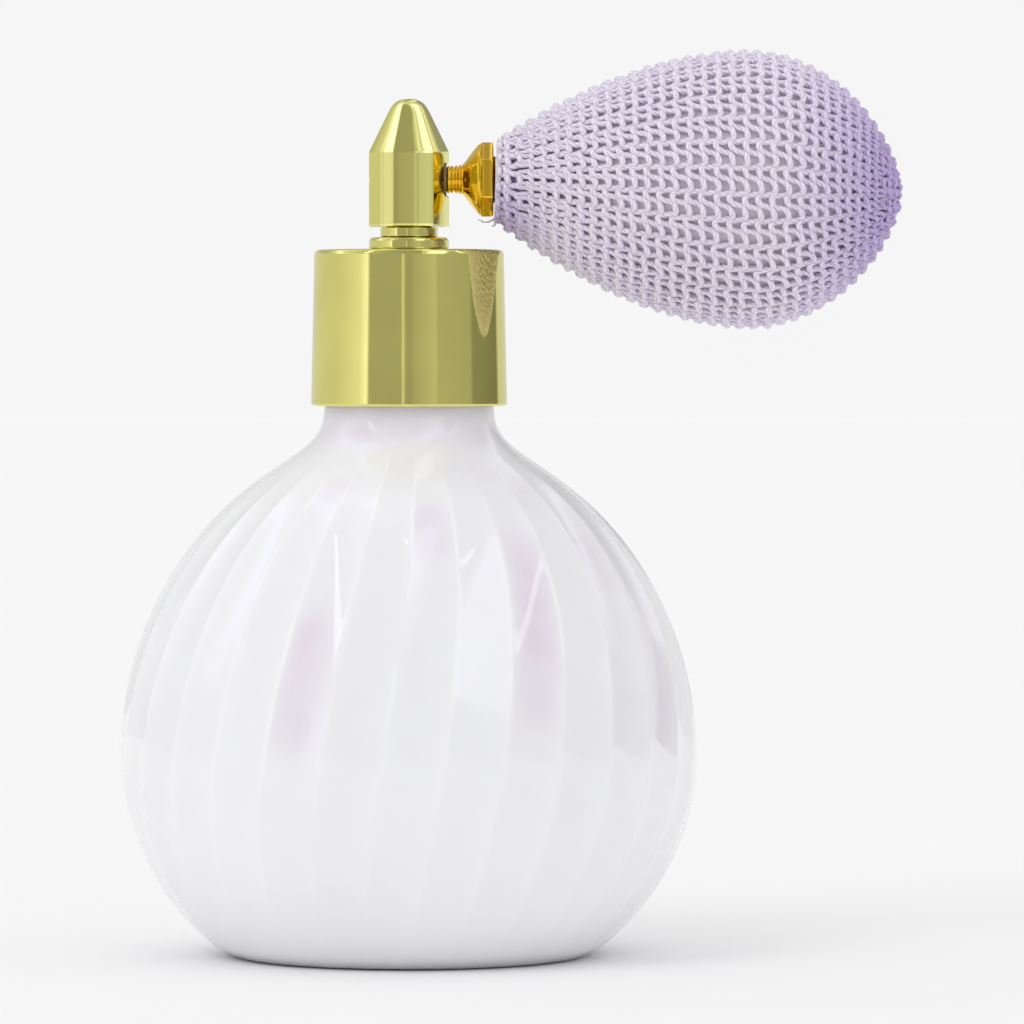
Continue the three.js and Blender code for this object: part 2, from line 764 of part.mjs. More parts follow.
// Cage: a cap over the barrel's inner end, with four holes round its middle.
function cageBrass() {
  const cap = turned(
    [
      v2(0, INLET_START_S - 0.7),
      v2(INLET_BARREL_R + 0.5, INLET_START_S - 0.7),
      v2(INLET_BARREL_R + 0.5, INLET_FLANGE_S - 0.2),
      v2(INLET_BARREL_R + 0.1, INLET_FLANGE_S - 0.2),
      v2(INLET_BARREL_R + 0.1, INLET_START_S - 0.1),
      v2(0, INLET_START_S - 0.1),
    ],
    24,
  );
  const holes = [0, 90, 180, 270].map((turn) =>
    rod(0.3, INLET_START_S - 2, INLET_START_S + 1, 8)
      .translate(0.95, 0, 0)
      .rotateZ(turn * DEG),
  );
  return cut(cap, ...holes);
}

add("inlet_valve_cage", cageBrass(), BRASS, bulb);

export default atomiser;
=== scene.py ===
"""Perfume atomiser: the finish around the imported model.

An opal glass globe with swirled flutes, a polished screw collar, a hexagonal spray head, a
warm gold connector and a rubber squeeze bulb in a knitted cover. The shapes are worked out in
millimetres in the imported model's frame and put into the meshes in metres.
"""

import json
import math

import bpy
import numpy as np
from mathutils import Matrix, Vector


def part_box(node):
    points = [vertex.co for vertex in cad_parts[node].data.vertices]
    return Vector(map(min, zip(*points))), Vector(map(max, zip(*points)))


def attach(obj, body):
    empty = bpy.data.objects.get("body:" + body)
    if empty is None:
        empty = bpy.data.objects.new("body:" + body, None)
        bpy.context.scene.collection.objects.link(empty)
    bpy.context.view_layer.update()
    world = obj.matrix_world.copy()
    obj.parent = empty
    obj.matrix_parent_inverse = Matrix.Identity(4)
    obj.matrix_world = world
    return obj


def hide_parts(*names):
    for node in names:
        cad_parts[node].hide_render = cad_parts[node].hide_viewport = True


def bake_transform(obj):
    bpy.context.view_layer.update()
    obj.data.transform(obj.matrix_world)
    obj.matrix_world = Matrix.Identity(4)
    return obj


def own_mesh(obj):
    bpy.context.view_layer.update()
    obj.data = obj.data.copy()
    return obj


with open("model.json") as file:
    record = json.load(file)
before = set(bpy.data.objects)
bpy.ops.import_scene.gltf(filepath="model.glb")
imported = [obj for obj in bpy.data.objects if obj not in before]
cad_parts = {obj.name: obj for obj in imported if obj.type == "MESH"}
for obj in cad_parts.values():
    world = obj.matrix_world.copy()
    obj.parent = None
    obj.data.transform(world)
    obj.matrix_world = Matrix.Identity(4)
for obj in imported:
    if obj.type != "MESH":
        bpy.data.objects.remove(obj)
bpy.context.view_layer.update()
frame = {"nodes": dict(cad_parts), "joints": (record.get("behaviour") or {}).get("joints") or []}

bl_info = {
    "name": "Perfume Atomiser",
    "version": (1, 0, 0),
    "blender": (4, 5, 0),
    "location": "3D View > Sidebar > Atomiser",
    "description": "Builds the glass, metal, rubber and knitted pieces of a perfume atomiser",
    "category": "Object",
}

MM = 0.001
TURN = 2 * math.pi


def span(node):
    """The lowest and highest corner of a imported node, in millimetres."""
    low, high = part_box(node)
    return np.array(low) / MM, np.array(high) / MM


# ------------------------------------------------------------------ places from the frame

GLASS_HIGH = span("glass_bottle")[1]
HEAD_LOW, HEAD_HIGH = span("head_body")
NUT_LOW, NUT_HIGH = span("bulb_nut")
JET_Z = (NUT_LOW[2] + NUT_HIGH[2]) / 2
SQUEEZE = next(j for j in frame["joints"] if j["name"] == "bulb_squeeze")
BULB_AXIS = -np.array(SQUEEZE["axis"], float)  # from the mouth to the tail
BULB_AXIS /= np.linalg.norm(BULB_AXIS)
BULB_MOUTH = np.array([12.3, 0.0, 110.8])
BULB_FRONT = 36.0  # mouth to widest place, along the bulb's axis
BULB_TAIL = 22.3  # widest place to tail
BULB_R = 19.95


# ------------------------------------------------------------------ surfaces

def surface(name, points, wrap_rows=False, wrap_columns=True, along=None, around=None):
    """A mesh skinned over a grid of points in millimetres. Rows and columns may each close on
    themselves, and a first or last row that has shrunk to one point becomes a pole. The UV map
    holds `along` for the rows and `around` for the columns."""
    rows, columns = points.shape[:2]
    index = np.arange(rows * columns).reshape(rows, columns)
    for end in (0, rows - 1):
        if np.ptp(points[end], axis=0).max() < 1e-7:
            index[end] = index[end, 0]
    row_count = rows if wrap_rows else rows - 1
    column_count = columns if wrap_columns else columns - 1
    i, j = np.meshgrid(np.arange(row_count), np.arange(column_count), indexing="ij")
    corner_i = np.stack([i, i + 1, i + 1, i], -1).reshape(-1, 4)
    corner_j = np.stack([j, j, j + 1, j + 1], -1).reshape(-1, 4)
    quads = index[corner_i % rows, corner_j % columns]
    along = np.arange(rows + 1) / rows if along is None else np.append(along, along[-1])
    around = np.arange(columns + 1) / columns if around is None else around
    uv = np.stack([along[corner_i], around[corner_j]], -1)
    low_pole = quads[:, 0] == quads[:, 3]
    high_pole = quads[:, 1] == quads[:, 2]
    whole = ~(low_pole | high_pole)
    parts = [quads[whole], quads[low_pole][:, [0, 1, 2]], quads[high_pole][:, [0, 1, 3]]]
    maps = [uv[whole], uv[low_pole][:, [0, 1, 2]], uv[high_pole][:, [0, 1, 3]]]
    loops = np.concatenate([m.reshape(-1, 2) for m in maps])
    sizes = np.repeat([4, 3, 3], [len(part) for part in parts])
    used, compact = np.unique(np.concatenate([p.ravel() for p in parts]), return_inverse=True)
    mesh = bpy.data.meshes.new(name)
    mesh.vertices.add(len(used))
    mesh.vertices.foreach_set("co", (points.reshape(-1, 3)[used] * MM).ravel())
    mesh.loops.add(len(compact))
    mesh.loops.foreach_set("vertex_index", compact)
    mesh.polygons.add(len(sizes))
    mesh.polygons.foreach_set("loop_start", np.concatenate([[0], np.cumsum(sizes)[:-1]]))
    mesh.polygons.foreach_set("use_smooth", np.ones(len(sizes), bool))
    mesh.update(calc_edges=True)
    layer = mesh.uv_layers.new(name="Wrap")
    layer.data.foreach_set("uv", loops.ravel())
    mesh.validate()
    made = bpy.data.objects.new(name, mesh)
    bpy.context.scene.collection.objects.link(made)
    return made


def outline_sign(outline):
    """Twice the signed area of an outline: above zero where it runs counter-clockwise."""
    ahead = np.roll(outline, -1, axis=0)
    return np.sum(outline[:, 0] * ahead[:, 1] - ahead[:, 0] * outline[:, 1])


def rounded(corners, radii, steps=4):
    """A closed outline with its corners eased: each corner becomes a quadratic curve between
    two points on its edges, at most 0.45 of an edge away, with one more point beyond each end
    so that the flats beside it shade as flats."""
    corners = np.array(corners, float)
    reach = np.broadcast_to(np.array(radii, float), len(corners))
    points = []
    for k, corner in enumerate(corners):
        before, after = corners[k - 1] - corner, corners[(k + 1) % len(corners)] - corner
        lengths = np.hypot(*before), np.hypot(*after)
        if reach[k] == 0 or min(lengths) == 0:
            points.append(corner)
            continue
        share = min(reach[k], 0.45 * min(lengths))
        start, end = corner + before / lengths[0] * share, corner + after / lengths[1] * share
        s = np.linspace(0, 1, steps + 1)[:, None]
        curve = (1 - s) ** 2 * start + 2 * s * (1 - s) * corner + s ** 2 * end
        lead = before / lengths[0] * min(share * 1.25, 0.48 * lengths[0])
        tail = after / lengths[1] * min(share * 1.25, 0.48 * lengths[1])
        points += [corner + lead, *curve, corner + tail]
    return np.array(points)


def about_z(radius, height, angle):
    """Points at a radius and height, turned round Z: (r cos a, r sin a, z)."""
    return np.stack(np.broadcast_arrays(radius * np.cos(angle), radius * np.sin(angle), height), -1)


def revolve(name, outline, segments=96):
    """A body of revolution about Z. The outline holds radius and height; it closes on itself
    unless its two ends lie on the axis."""
    outline = np.array(outline, float)
    if outline_sign(outline) > 0:
        outline = outline[::-1]
    on_axis = np.isclose(outline[:, 0], 0)
    if on_axis.any():
        first = int(np.argmax(on_axis & ~np.roll(on_axis, 1)))
        outline = np.roll(outline, -first, axis=0)
        if np.isclose(outline[1, 0], 0):
            outline = np.roll(outline, -1, axis=0)
    angle = np.arange(segments) * TURN / segments
    points = about_z(outline[:, :1], outline[:, 1:], angle[None])
    return surface(name, points, wrap_rows=not on_axis.any())


def points_of(mesh):
    """The places of a mesh's points, one row each, in metres."""
    flat = np.empty(len(mesh.vertices) * 3)
    mesh.vertices.foreach_get("co", flat)
    return flat.reshape(-1, 3)


def store(mesh, name, amount):
    """Stores one number on each point of a mesh, for its material to read."""
    layer = mesh.attributes.new(name, "FLOAT", "POINT")
    layer.data.foreach_set("value", amount.astype(np.float32))


def place(piece, matrix):
    """Moves a piece's mesh by a 4 by 4 matrix, in millimetres, and leaves its object alone."""
    mesh = piece.data
    matrix = np.array(matrix, float)
    moved = points_of(mesh) @ matrix[:3, :3].T + matrix[:3, 3] * MM
    mesh.vertices.foreach_set("co", moved.ravel())
    mesh.update()
    return piece


def along_x(piece):
    """Lays a piece made about Z along +X, at the nozzle's height."""
    return place(piece, [[0, 0, 1, 0], [0, 1, 0, 0], [-1, 0, 0, JET_Z], [0, 0, 0, 1]])


BULB_UP = np.cross(np.array([0.0, 1.0, 0.0]), -BULB_AXIS)
BULB_SIDE = np.cross(BULB_AXIS, BULB_UP)


def along_bulb(piece):
    """Lays a piece made about Z along the bulb's axis, with z = 0 at the bulb's mouth."""
    matrix = np.eye(4)
    matrix[:3, 0], matrix[:3, 1], matrix[:3, 2] = BULB_UP, BULB_SIDE, BULB_AXIS
    matrix[:3, 3] = BULB_MOUTH
    return place(piece, matrix)


def tube(name, path, radius, sides=8, toward=None, closed=False):
    """A round tube along a path. Each ring lies square to the path, turned so that its first
    point looks towards the direction `toward`, and an open tube ends in small domes."""
    path = np.array(path, float)
    radius = np.broadcast_to(np.array(radius, float), len(path))
    if closed:
        ahead, behind = np.roll(path, -1, 0), np.roll(path, 1, 0)
    else:
        ahead, behind = np.vstack([path[1:], path[-1:]]), np.vstack([path[:1], path[:-1]])
    tangent = ahead - behind
    tangent /= np.linalg.norm(tangent, axis=1, keepdims=True)
    step = np.linalg.norm(np.diff(path, axis=0), axis=1)
    length = np.concatenate([[0], np.cumsum(step)])
    if not closed:
        dome = np.array([0, 0.55, 0.85])
        lead = path[0] - tangent[0] * (radius[0] * (1 - dome))[:, None]
        tail = path[-1] + tangent[-1] * (radius[-1] * (1 - dome[::-1]))[:, None]
        rise = np.sqrt(1 - (1 - dome) ** 2)
        radius = np.concatenate([radius[0] * rise, radius, radius[-1] * rise[::-1]])
        path = np.vstack([lead, path, tail])
        tangent = np.vstack([tangent[[0, 0, 0]], tangent, tangent[[-1, -1, -1]]])
        length = np.concatenate([[0, 0, 0], length, length[[-1, -1, -1]]])
        if toward is not None and np.ndim(toward) == 2:
            toward = np.vstack([toward[[0, 0, 0]], toward, toward[[-1, -1, -1]]])
    guide = np.array([0.0, 0.0, 1.0]) if toward is None else np.array(toward, float)
    guide = np.broadcast_to(guide, path.shape)
    normal = guide - np.sum(guide * tangent, axis=1, keepdims=True) * tangent
    normal /= np.linalg.norm(normal, axis=1, keepdims=True)
    other = np.cross(normal, tangent)
    angle = (np.arange(sides) * TURN / sides)[None, :, None]
    ring = np.cos(angle) * normal[:, None] + np.sin(angle) * other[:, None]
    points = path[:, None] + radius[:, None, None] * ring
    return surface(name, points, wrap_rows=closed, along=length)


def cut_away(piece, cutters, sharp_degrees=28):
    """Cuts each closed cutter out of a piece, and keeps the edges of the cuts crisp."""
    for cutter in cutters:
        step = piece.modifiers.new("Cut", "BOOLEAN")
        step.operation = "DIFFERENCE"
        step.solver = "EXACT"
        step.object = cutter
    bpy.context.view_layer.update()
    ready = piece.evaluated_get(bpy.context.evaluated_depsgraph_get())
    mesh = bpy.data.meshes.new_from_object(ready)
    piece.modifiers.clear()
    piece.data = mesh
    mesh.name = piece.name
    mesh.set_sharp_from_angle(angle=math.radians(sharp_degrees))
    for cutter in cutters:
        bpy.data.objects.remove(cutter)
    return piece


def refinished(node, material):
    """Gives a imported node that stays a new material."""
    slots = frame["nodes"][node].data.materials
    slots.clear()
    slots.append(material)


def finished(piece, material, slot, body, *nodes):
    """Gives a piece its material, and puts it on its body in place of nodes. The slot is not used.
    """
    piece.data.materials.clear()
    piece.data.materials.append(material)
    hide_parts(*nodes)
    if body:
        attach(piece, body)
    return piece


# ------------------------------------------------------------------ materials

class Finish:
    """A node material under construction, around one Principled shader."""

    def __init__(self, name, **sockets):
        self.material = bpy.data.materials.new(name)
        self.material.use_nodes = True
        self.nodes = self.material.node_tree.nodes
        self.links = self.material.node_tree.links
        self.shader = self.nodes["Principled BSDF"]
        for socket, value in sockets.items():
            self.shader.inputs[socket.replace("_", " ")].default_value = value

    def node(self, kind, _operation=None, **inputs):
        """Adds a node, and fills its inputs by name or number with values or other outputs."""
        made = self.nodes.new("ShaderNode" + kind)
        if _operation:
            made.operation = _operation
        for key, value in inputs.items():
            key = int(key[1:]) if key[0] == "i" and key[1:].isdigit() else key.replace("_", " ")
            self.feed(made.inputs[key], value)
        return made

    def feed(self, socket, value):
        if isinstance(value, bpy.types.NodeSocket):
            self.links.new(value, socket)
        else:
            socket.default_value = value

    def math(self, operation, *values):
        made = self.node("Math", operation)
        for socket, value in zip(made.inputs, values):
            self.feed(socket, value)
        return made.outputs[0]

    def place(self):
        return self.node("TexCoord").outputs["Object"]

    def stored(self, name):
        """The number stored on the points under a name."""
        made = self.node("Attribute")
        made.attribute_name = name
        return made.outputs["Fac"]

    def noise(self, scale, detail=3.0, roughness=0.5, vector=None):
        """Noise by place on the piece, in cycles a metre."""
        vector = vector or self.place()
        made = self.node("TexNoise", Vector=vector, Scale=scale, Detail=detail, Roughness=roughness)
        return made.outputs["Fac"]

    def ramp(self, factor, *stops):
        """A colour ramp: each stop is a position and a colour or a grey."""
        made = self.node("ValToRGB", Fac=factor)
        elements = made.color_ramp.elements
        while len(elements) < len(stops):
            elements.new(0.5)
        for element, (position, colour) in zip(elements, stops):
            element.position = position
            colour = (colour,) * 3 if isinstance(colour, (int, float)) else tuple(colour)[:3]
            element.color = (*colour, 1)
        return made.outputs["Color"]

    def mix(self, factor, first, second, blend="MIX"):
        made = self.nodes.new("ShaderNodeMix")
        made.data_type = "RGBA"
        made.blend_type = blend
        self.feed(made.inputs["Factor"], factor)
        self.feed(made.inputs["A"], first)
        self.feed(made.inputs["B"], second)
        return made.outputs["Result"]

    def range(self, value, low, high, to_low, to_high, smooth=True):
        made = self.nodes.new("ShaderNodeMapRange")
        made.interpolation_type = "SMOOTHSTEP" if smooth else "LINEAR"
        for name, number in zip(
            ("Value", "From Min", "From Max", "To Min", "To Max"),
            (value, low, high, to_low, to_high),
        ):
            self.feed(made.inputs[name], number)
        return made.outputs["Result"]

    def bump(self, height, strength, distance, normal=None):
        made = self.node("Bump", Height=height, Strength=strength, Distance=distance)
        if normal:
            self.feed(made.inputs["Normal"], normal)
        return made.outputs["Normal"]

    def set(self, **sockets):
        for socket, value in sockets.items():
            self.feed(self.shader.inputs[socket.replace("_", " ")], value)
        return self.material


def shade(colour, factor=1.0):
    return (*(min(1.0, c * factor) for c in tuple(colour)[:3]), 1.0)


def opal_glass(settings):
    """White opal glass: glossy, a little translucent, with clouded lilac patches that stay in
    their own flutes, faint milky streaks along the swirl, and painted highlights: thin white
    lines along chosen ridges."""
    f = Finish("Opal_Glass", Roughness=0.045, IOR=1.5, Coat_Weight=0.35, Coat_Roughness=0.02,
               Subsurface_Weight=0.45, Subsurface_Radius=(1.0, 0.9, 1.0), Subsurface_Scale=0.006)
    patch = f.stored("lilac")
    clouds = f.noise(55, 2.0, 0.5)
    strength = f.math("MULTIPLY", patch, f.range(clouds, 0.3, 0.62, 0.35, 1.0))
    milk = f.noise(26, 3.0, 0.55)
    body = f.mix(
        f.range(milk, 0.35, 0.68, 0.0, 1.0),
        shade(settings.glass_colour, 0.975),
        shade(settings.glass_colour, 1.015),
    )
    base = f.mix(strength, body, shade(settings.patch_colour))
    # painted highlight: the stored ridge value, broken up by noise, mixes white into thin lines
    # along chosen ridges
    ridge = f.stored("ridge")
    highlight_breaks = f.range(f.noise(48, 1.0), 0.38, 0.56, 0.15, 1)
    base = f.mix(f.math("MULTIPLY", ridge, highlight_breaks), base, (1, 1, 1, 1))
    ripple = f.bump(f.noise(70, 1.0), 0.12, 0.0008)
    return f.set(Base_Color=base, Normal=ripple)


HEX = math.radians(60)
HEAD_CORNER = math.radians(-90 - 22)
# paler gold painted on the head's facets as a reflection
PAINTED_REFLECTION_GOLD = (1.0, 0.97, 0.36, 1.0)


def plated(name, colour, roughness=0.055, paint_facet_reflections=False):
    """Polished plating: a mirror with a faint drift of tint, soft wipe marks in its gloss and
    very shallow polishing waves. On a hexagonal piece, each facet carries a painted reflection:
    it is paler gold on one side of a fine line down its middle."""
    f = Finish(name, Metallic=1.0, IOR=1.5)
    drift = f.noise(90, 2.0)
    base = f.mix(f.range(drift, 0.35, 0.65, 0, 1), shade(colour, 0.97), shade(colour, 1.03))
    if paint_facet_reflections:
        parts = f.node("SeparateXYZ", Vector=f.place())
        turn = f.math("ARCTAN2", parts.outputs["Y"], parts.outputs["X"])
        across = f.math("FRACT", f.math("MULTIPLY_ADD", turn, 1 / HEX, 8 - HEAD_CORNER / HEX))
        # painted reflection: bands of paler gold across each facet, set by the angle round the head
        gold_painted_reflections = f.ramp(across, (0.0, 0.0), (0.50, 0.0), (0.52, 0.8), (0.575, 0.8), (0.6, 0.25),
                        (0.63, 0.3), (0.66, 0.95), (0.9, 1.0), (0.97, 0.5), (1.0, 0.0))
        base = f.mix(gold_painted_reflections, base, PAINTED_REFLECTION_GOLD)
    wipe = f.node("Mapping", Vector=f.place(), Scale=(900, 900, 120))
    haze = f.noise(1.0, 3.0, 0.6, wipe.outputs[0])
    gloss = f.range(haze, 0.35, 0.75, roughness * 0.7, roughness * 1.6)
    waves = f.bump(f.noise(160, 1.0), 0.05, 0.0004)
    return f.set(Base_Color=base, Roughness=gloss, Normal=waves)


def turned_metal(name, colour, roughness=0.3):
    """Plain turned metal: fine tool lines round the piece and a slightly uneven gloss."""
    f = Finish(name, Metallic=1.0)
    lines = f.node("Mapping", Vector=f.place(), Scale=(4200, 300, 4200))
    grain = f.noise(1.0, 2.0, 0.5, lines.outputs[0])
    base = f.mix(grain, shade(colour, 0.86), shade(colour, 1.08))
    gloss = f.range(grain, 0.3, 0.7, roughness * 0.75, roughness * 1.3)
    return f.set(Base_Color=base, Roughness=gloss, Normal=f.bump(grain, 0.15, 0.00005))


def moulded(name, colour, roughness=0.42, translucent=0.1):
    """Moulded plastic: a fine matt grain and a slow drift of tint."""
    f = Finish(name, IOR=1.49, Subsurface_Weight=translucent, Subsurface_Scale=0.001)
    drift = f.noise(140, 2.0)
    base = f.mix(drift, shade(colour, 0.95), shade(colour, 1.02))
    grain = f.noise(5200, 2.0)
    gloss = f.range(drift, 0.3, 0.7, roughness * 0.85, roughness * 1.15)
    return f.set(Base_Color=base, Roughness=gloss, Normal=f.bump(grain, 0.2, 0.00003))


def matt_rubber(name, colour, rubber_painted_shade_colour=None):
    """Soft rubber: dusty bloom in its tint, a fine grain, and painted shade: a deeper tone towards
    both ends of the bulb, where little light gets under the cover."""
    f = Finish(name, IOR=1.52, Sheen_Weight=0.25, Sheen_Roughness=0.5)
    bloom = f.noise(420, 4.0, 0.6)
    base = f.mix(f.range(bloom, 0.3, 0.7, 0, 1), shade(colour, 0.93), shade(colour, 1.05))
    if rubber_painted_shade_colour:
        # painted shade: the rubber turns deeper towards both ends of the bulb
        base = f.mix(f.stored("ends"), base, shade(rubber_painted_shade_colour))
    grain = f.noise(2600, 3.0)
    return f.set(Base_Color=base, Roughness=f.range(bloom, 0.3, 0.7, 0.5, 0.68),
                 Normal=f.bump(grain, 0.3, 0.00006))


def silky_yarn(name, colour, yarn_painted_shade_colour, plies=3, lay=3.4):
    """Twisted silky yarn. The wrap map runs along the yarn in millimetres and once round it:
    the plies are waves that climb round the yarn, with fine fibres along each ply. Painted shade
    darkens the grooves between the plies and the yarn towards the gathered ends."""
    f = Finish(name, IOR=1.5, Sheen_Weight=0.5, Sheen_Roughness=0.3,
               Subsurface_Weight=0.25, Subsurface_Radius=(1.0, 0.85, 1.0), Subsurface_Scale=0.0006)
    wrap = f.nodes.new("ShaderNodeUVMap")
    wrap.uv_map = "Wrap"
    parts = f.node("SeparateXYZ", Vector=wrap.outputs[0])
    climb = f.math("MULTIPLY_ADD", parts.outputs["X"], 1.0 / lay, parts.outputs["Y"])
    wave = f.math("SINE", f.math("MULTIPLY", climb, TURN * plies))
    half_turns = f.math("MULTIPLY", climb, math.pi * plies)
    ply = f.math("POWER", f.math("ABSOLUTE", f.math("SINE", half_turns)), 0.7)
    fibre_place = f.node("CombineXYZ", X=f.math("MULTIPLY", climb, 40.0),
                         Y=f.math("MULTIPLY", parts.outputs["X"], 0.9))
    fibres = f.noise(1.0, 3.0, 0.6, fibre_place.outputs[0])
    # painted shade: the yarn turns deeper violet towards the gathered ends
    ends = f.stored("ends")
    pale = f.mix(f.noise(60, 2.0), shade(colour, 0.97), shade(colour, 1.03))
    base = f.mix(ends, pale, shade(yarn_painted_shade_colour))
    # painted shade: the grooves between plies are darkened, with fibre streaks
    painted_groove_shade = f.mix(f.math("MULTIPLY", ply, f.range(fibres, 0.3, 0.6, 0.75, 1)),
                    shade(yarn_painted_shade_colour, 1.15), (1, 1, 1, 1))
    base = f.mix(0.34, base, f.mix(1.0, base, painted_groove_shade, "MULTIPLY"))
    height = f.math("MULTIPLY_ADD", fibres, 0.35, f.math("MULTIPLY_ADD", wave, 0.15, ply))
    return f.set(Base_Color=base, Roughness=f.range(fibres, 0.3, 0.7, 0.36, 0.55),
                 Normal=f.bump(height, 0.9, 0.00016))


# ------------------------------------------------------------------ shapes of the pieces

LEAD = 3.175  # rise of the neck thread for one turn
RIM_Z = GLASS_HIGH[2]
BELLY_R = GLASS_HIGH[0]
BELLY_Z = 28.7  # height of the widest place
BELLY_DROP = 36.9  # half axis of the ellipse below it
SHOULDER_RISE = 46.1  # half axis of the ellipse above it
THREAD_FOOT_Z = 81  # the neck's thread lies above this height


def turned(name, corners, segments=96, steps=4):
    """A turned body about Z from corners given as radius, height and how far back each corner
    starts to round over."""
    corners = np.array(corners, float)
    outline = rounded(corners[:, :2], corners[:, 2], steps)
    return revolve(name, outline, segments)


def ellipse(radius, half_axis, centre_z, start, end, steps):
    """Points (r cos a, c + h sin a) for angles in degrees, without the first one."""
    a = np.radians(np.linspace(start, end, steps + 1)[1:])
    return np.stack([radius * np.cos(a), centre_z + half_axis * np.sin(a)], -1)


def cubic(p0, p1, p2, p3, steps):
    """Points on a cubic curve, without the first one."""
    t = np.linspace(0, 1, steps + 1)[1:, None]
    p0, p1, p2, p3 = (np.array(p, float) for p in (p0, p1, p2, p3))
    return ((1 - t) ** 3 * p0 + 3 * t * (1 - t) ** 2 * p1
            + 3 * t ** 2 * (1 - t) * p2 + t ** 3 * p3)


def ease(value, low, high):
    """0 below low, 1 above high and 3t^2 - 2t^3 between."""
    t = np.clip((value - low) / (high - low), 0, 1)
    return t * t * (3 - 2 * t)


def thread_height(angle, z, start_z, turns, foot, crest):
    """0 to 1: how high a helical ridge stands. It climbs one lead a turn, its flanks slope from
    foot width to crest width, and it fades in and out over a twelfth of a turn."""
    best = np.zeros(np.broadcast_shapes(angle.shape, z.shape))
    for lap in range(int(math.ceil(turns)) + 1):
        whole = np.mod(angle, TURN) + lap * TURN
        centre = start_z + LEAD * whole / TURN
        flank = np.clip((foot / 2 - np.abs(z - centre)) / (foot / 2 - crest / 2), 0, 1)
        fade = np.clip(np.minimum(whole, turns * TURN - whole) / (TURN / 12) + 0.2, 0, 1)
        best = np.maximum(best, flank * fade)
    return best


def glass_outlines():
    """The bottle's outer outline from base to rim, and its cavity from rim to floor."""
    shoulder = ellipse(BELLY_R, SHOULDER_RISE, BELLY_Z, 0, 54, 44)
    outer = np.vstack([
        [(0, 0), (9, 0), (17, 0), (22, 0), (23.4, 0.02), (24.6, 0.13), (25.6, 0.32)],
        ellipse(BELLY_R, BELLY_DROP, BELLY_Z, -48.6, 0, 40),
        shoulder,
        cubic(shoulder[-1], (17, 71.85), (12.9, 72.6), (12.2, 77), 26),
        [(12.1, 78.2), (12.05, 78.9), (11.9, 79.25), (11.4, 79.7), (10.9, 80.1), (10.62, 80.6)],
        np.stack([np.full(47, 10.6), np.linspace(81.5, 94.6, 47)], -1),
        [(10.6, 94.95), (10.5, 95.2), (10.3, 95.36), (10.05, 95.4)],
    ])
    inner_top = ellipse(37.6, 43, BELLY_Z, 0, 50, 14)
    cavity = np.vstack([
        ellipse(37.6, 22.2, BELLY_Z, -89.99, 0, 20),
        inner_top,
        cubic(inner_top[-1], (17.5, 68), (7.8, 70), (7.8, 75), 12),
        [(7.8, 84), (7.8, 94.8), (7.9, 95.1), (8.1, 95.34), (8.35, 95.4)],
    ])
    cavity[0, 0] = 0
    return outer, cavity[::-1]


def rib_twist(z):
    """How far the ridges have leaned over, in radians: -17 degrees times (1 - z / rim)^1.3, so
    that seen from the front they run to the left on their way down."""
    return math.radians(-17) * np.clip(1 - z / RIM_Z, 0, 1) ** 1.3


def bottle(settings):
    """The globe as one closed surface, from base to rim and down the cavity. Between two ridges
    the radius sinks by depth * (1 - (1 - 2p)^2), where p is the share of the flute's width away
    from the ridge, with |p| replaced by sqrt(p^2 + e^2) - e, which rounds the ridge itself."""
    ribs = settings.flutes
    step = np.array([0, 0.014, 0.032, 0.065, 0.14, 0.28, 0.5])
    p = np.concatenate([-step[5:0:-1], step])
    phase = np.tile(p, ribs)
    angle = ((np.arange(ribs)[:, None] + p) * TURN / ribs).ravel()
    tip = settings.ridge_width / MM / (TURN * BELLY_R / ribs)
    away = np.sqrt(phase ** 2 + tip ** 2) - tip
    flute = 1 - (1 - 2 * away) ** 2
    outer, cavity = glass_outlines()
    z = outer[:, 1:]
    share = ease(z, 0.5, 12) * (1 - ease(z, 60, 73))
    depth = settings.flute_depth / MM
    twisted = angle[None] + rib_twist(z)
    ridge = thread_height(twisted, z, 88.2, 1.5, 1.5, 0.7) * (z > THREAD_FOOT_Z)
    radius = outer[:, :1] - depth * share * flute + ridge
    skin = about_z(radius, z, twisted)
    hollow = about_z(cavity[:, :1], cavity[:, 1:], angle[None])
    grid = np.vstack([skin, hollow])[::-1]
    piece = surface("Glass_Globe", grid)
    lilac_patches_and_ridge_highlights(piece, ribs)
    return piece


# Clouded patches in the glass: x and z of the middle on the front, half height and strength.
PATCHES = (
    (-12.9, 41.5, 13.0, 1.0),
    (15.6, 47.5, 16.5, 1.0),
    (3.2, 61.5, 5.0, 0.55),
    (35.5, 41.0, 13.0, 0.55),
    (27.0, 57.0, 5.0, 0.5),
    (-9.0, 66.0, 4.0, 0.35),
)
PAINTED_RIDGE_HIGHLIGHTS = (  # painted highlights: x and z of a place on the front, and the brightness of the painted highlight line on the ridge nearest to it
    (-15.9, 51.0, 1.0), (-9.1, 51.0, 1.0), (-2.6, 51.0, 0.8), (4.4, 51.0, 0.9),
    (18.7, 51.0, 0.8), (27.3, 51.0, 0.55), (35.0, 48.0, 0.8),
)


def flute_place(x, z, ribs):
    """The place round the globe, counted in flutes, of the front point at x and z."""
    radius = BELLY_R * math.sqrt(1 - ((z - BELLY_Z) / SHOULDER_RISE) ** 2)
    there = math.atan2(-math.sqrt(max(0, radius ** 2 - x ** 2)), x)
    return (there - float(rib_twist(np.array(z)))) % TURN / TURN * ribs


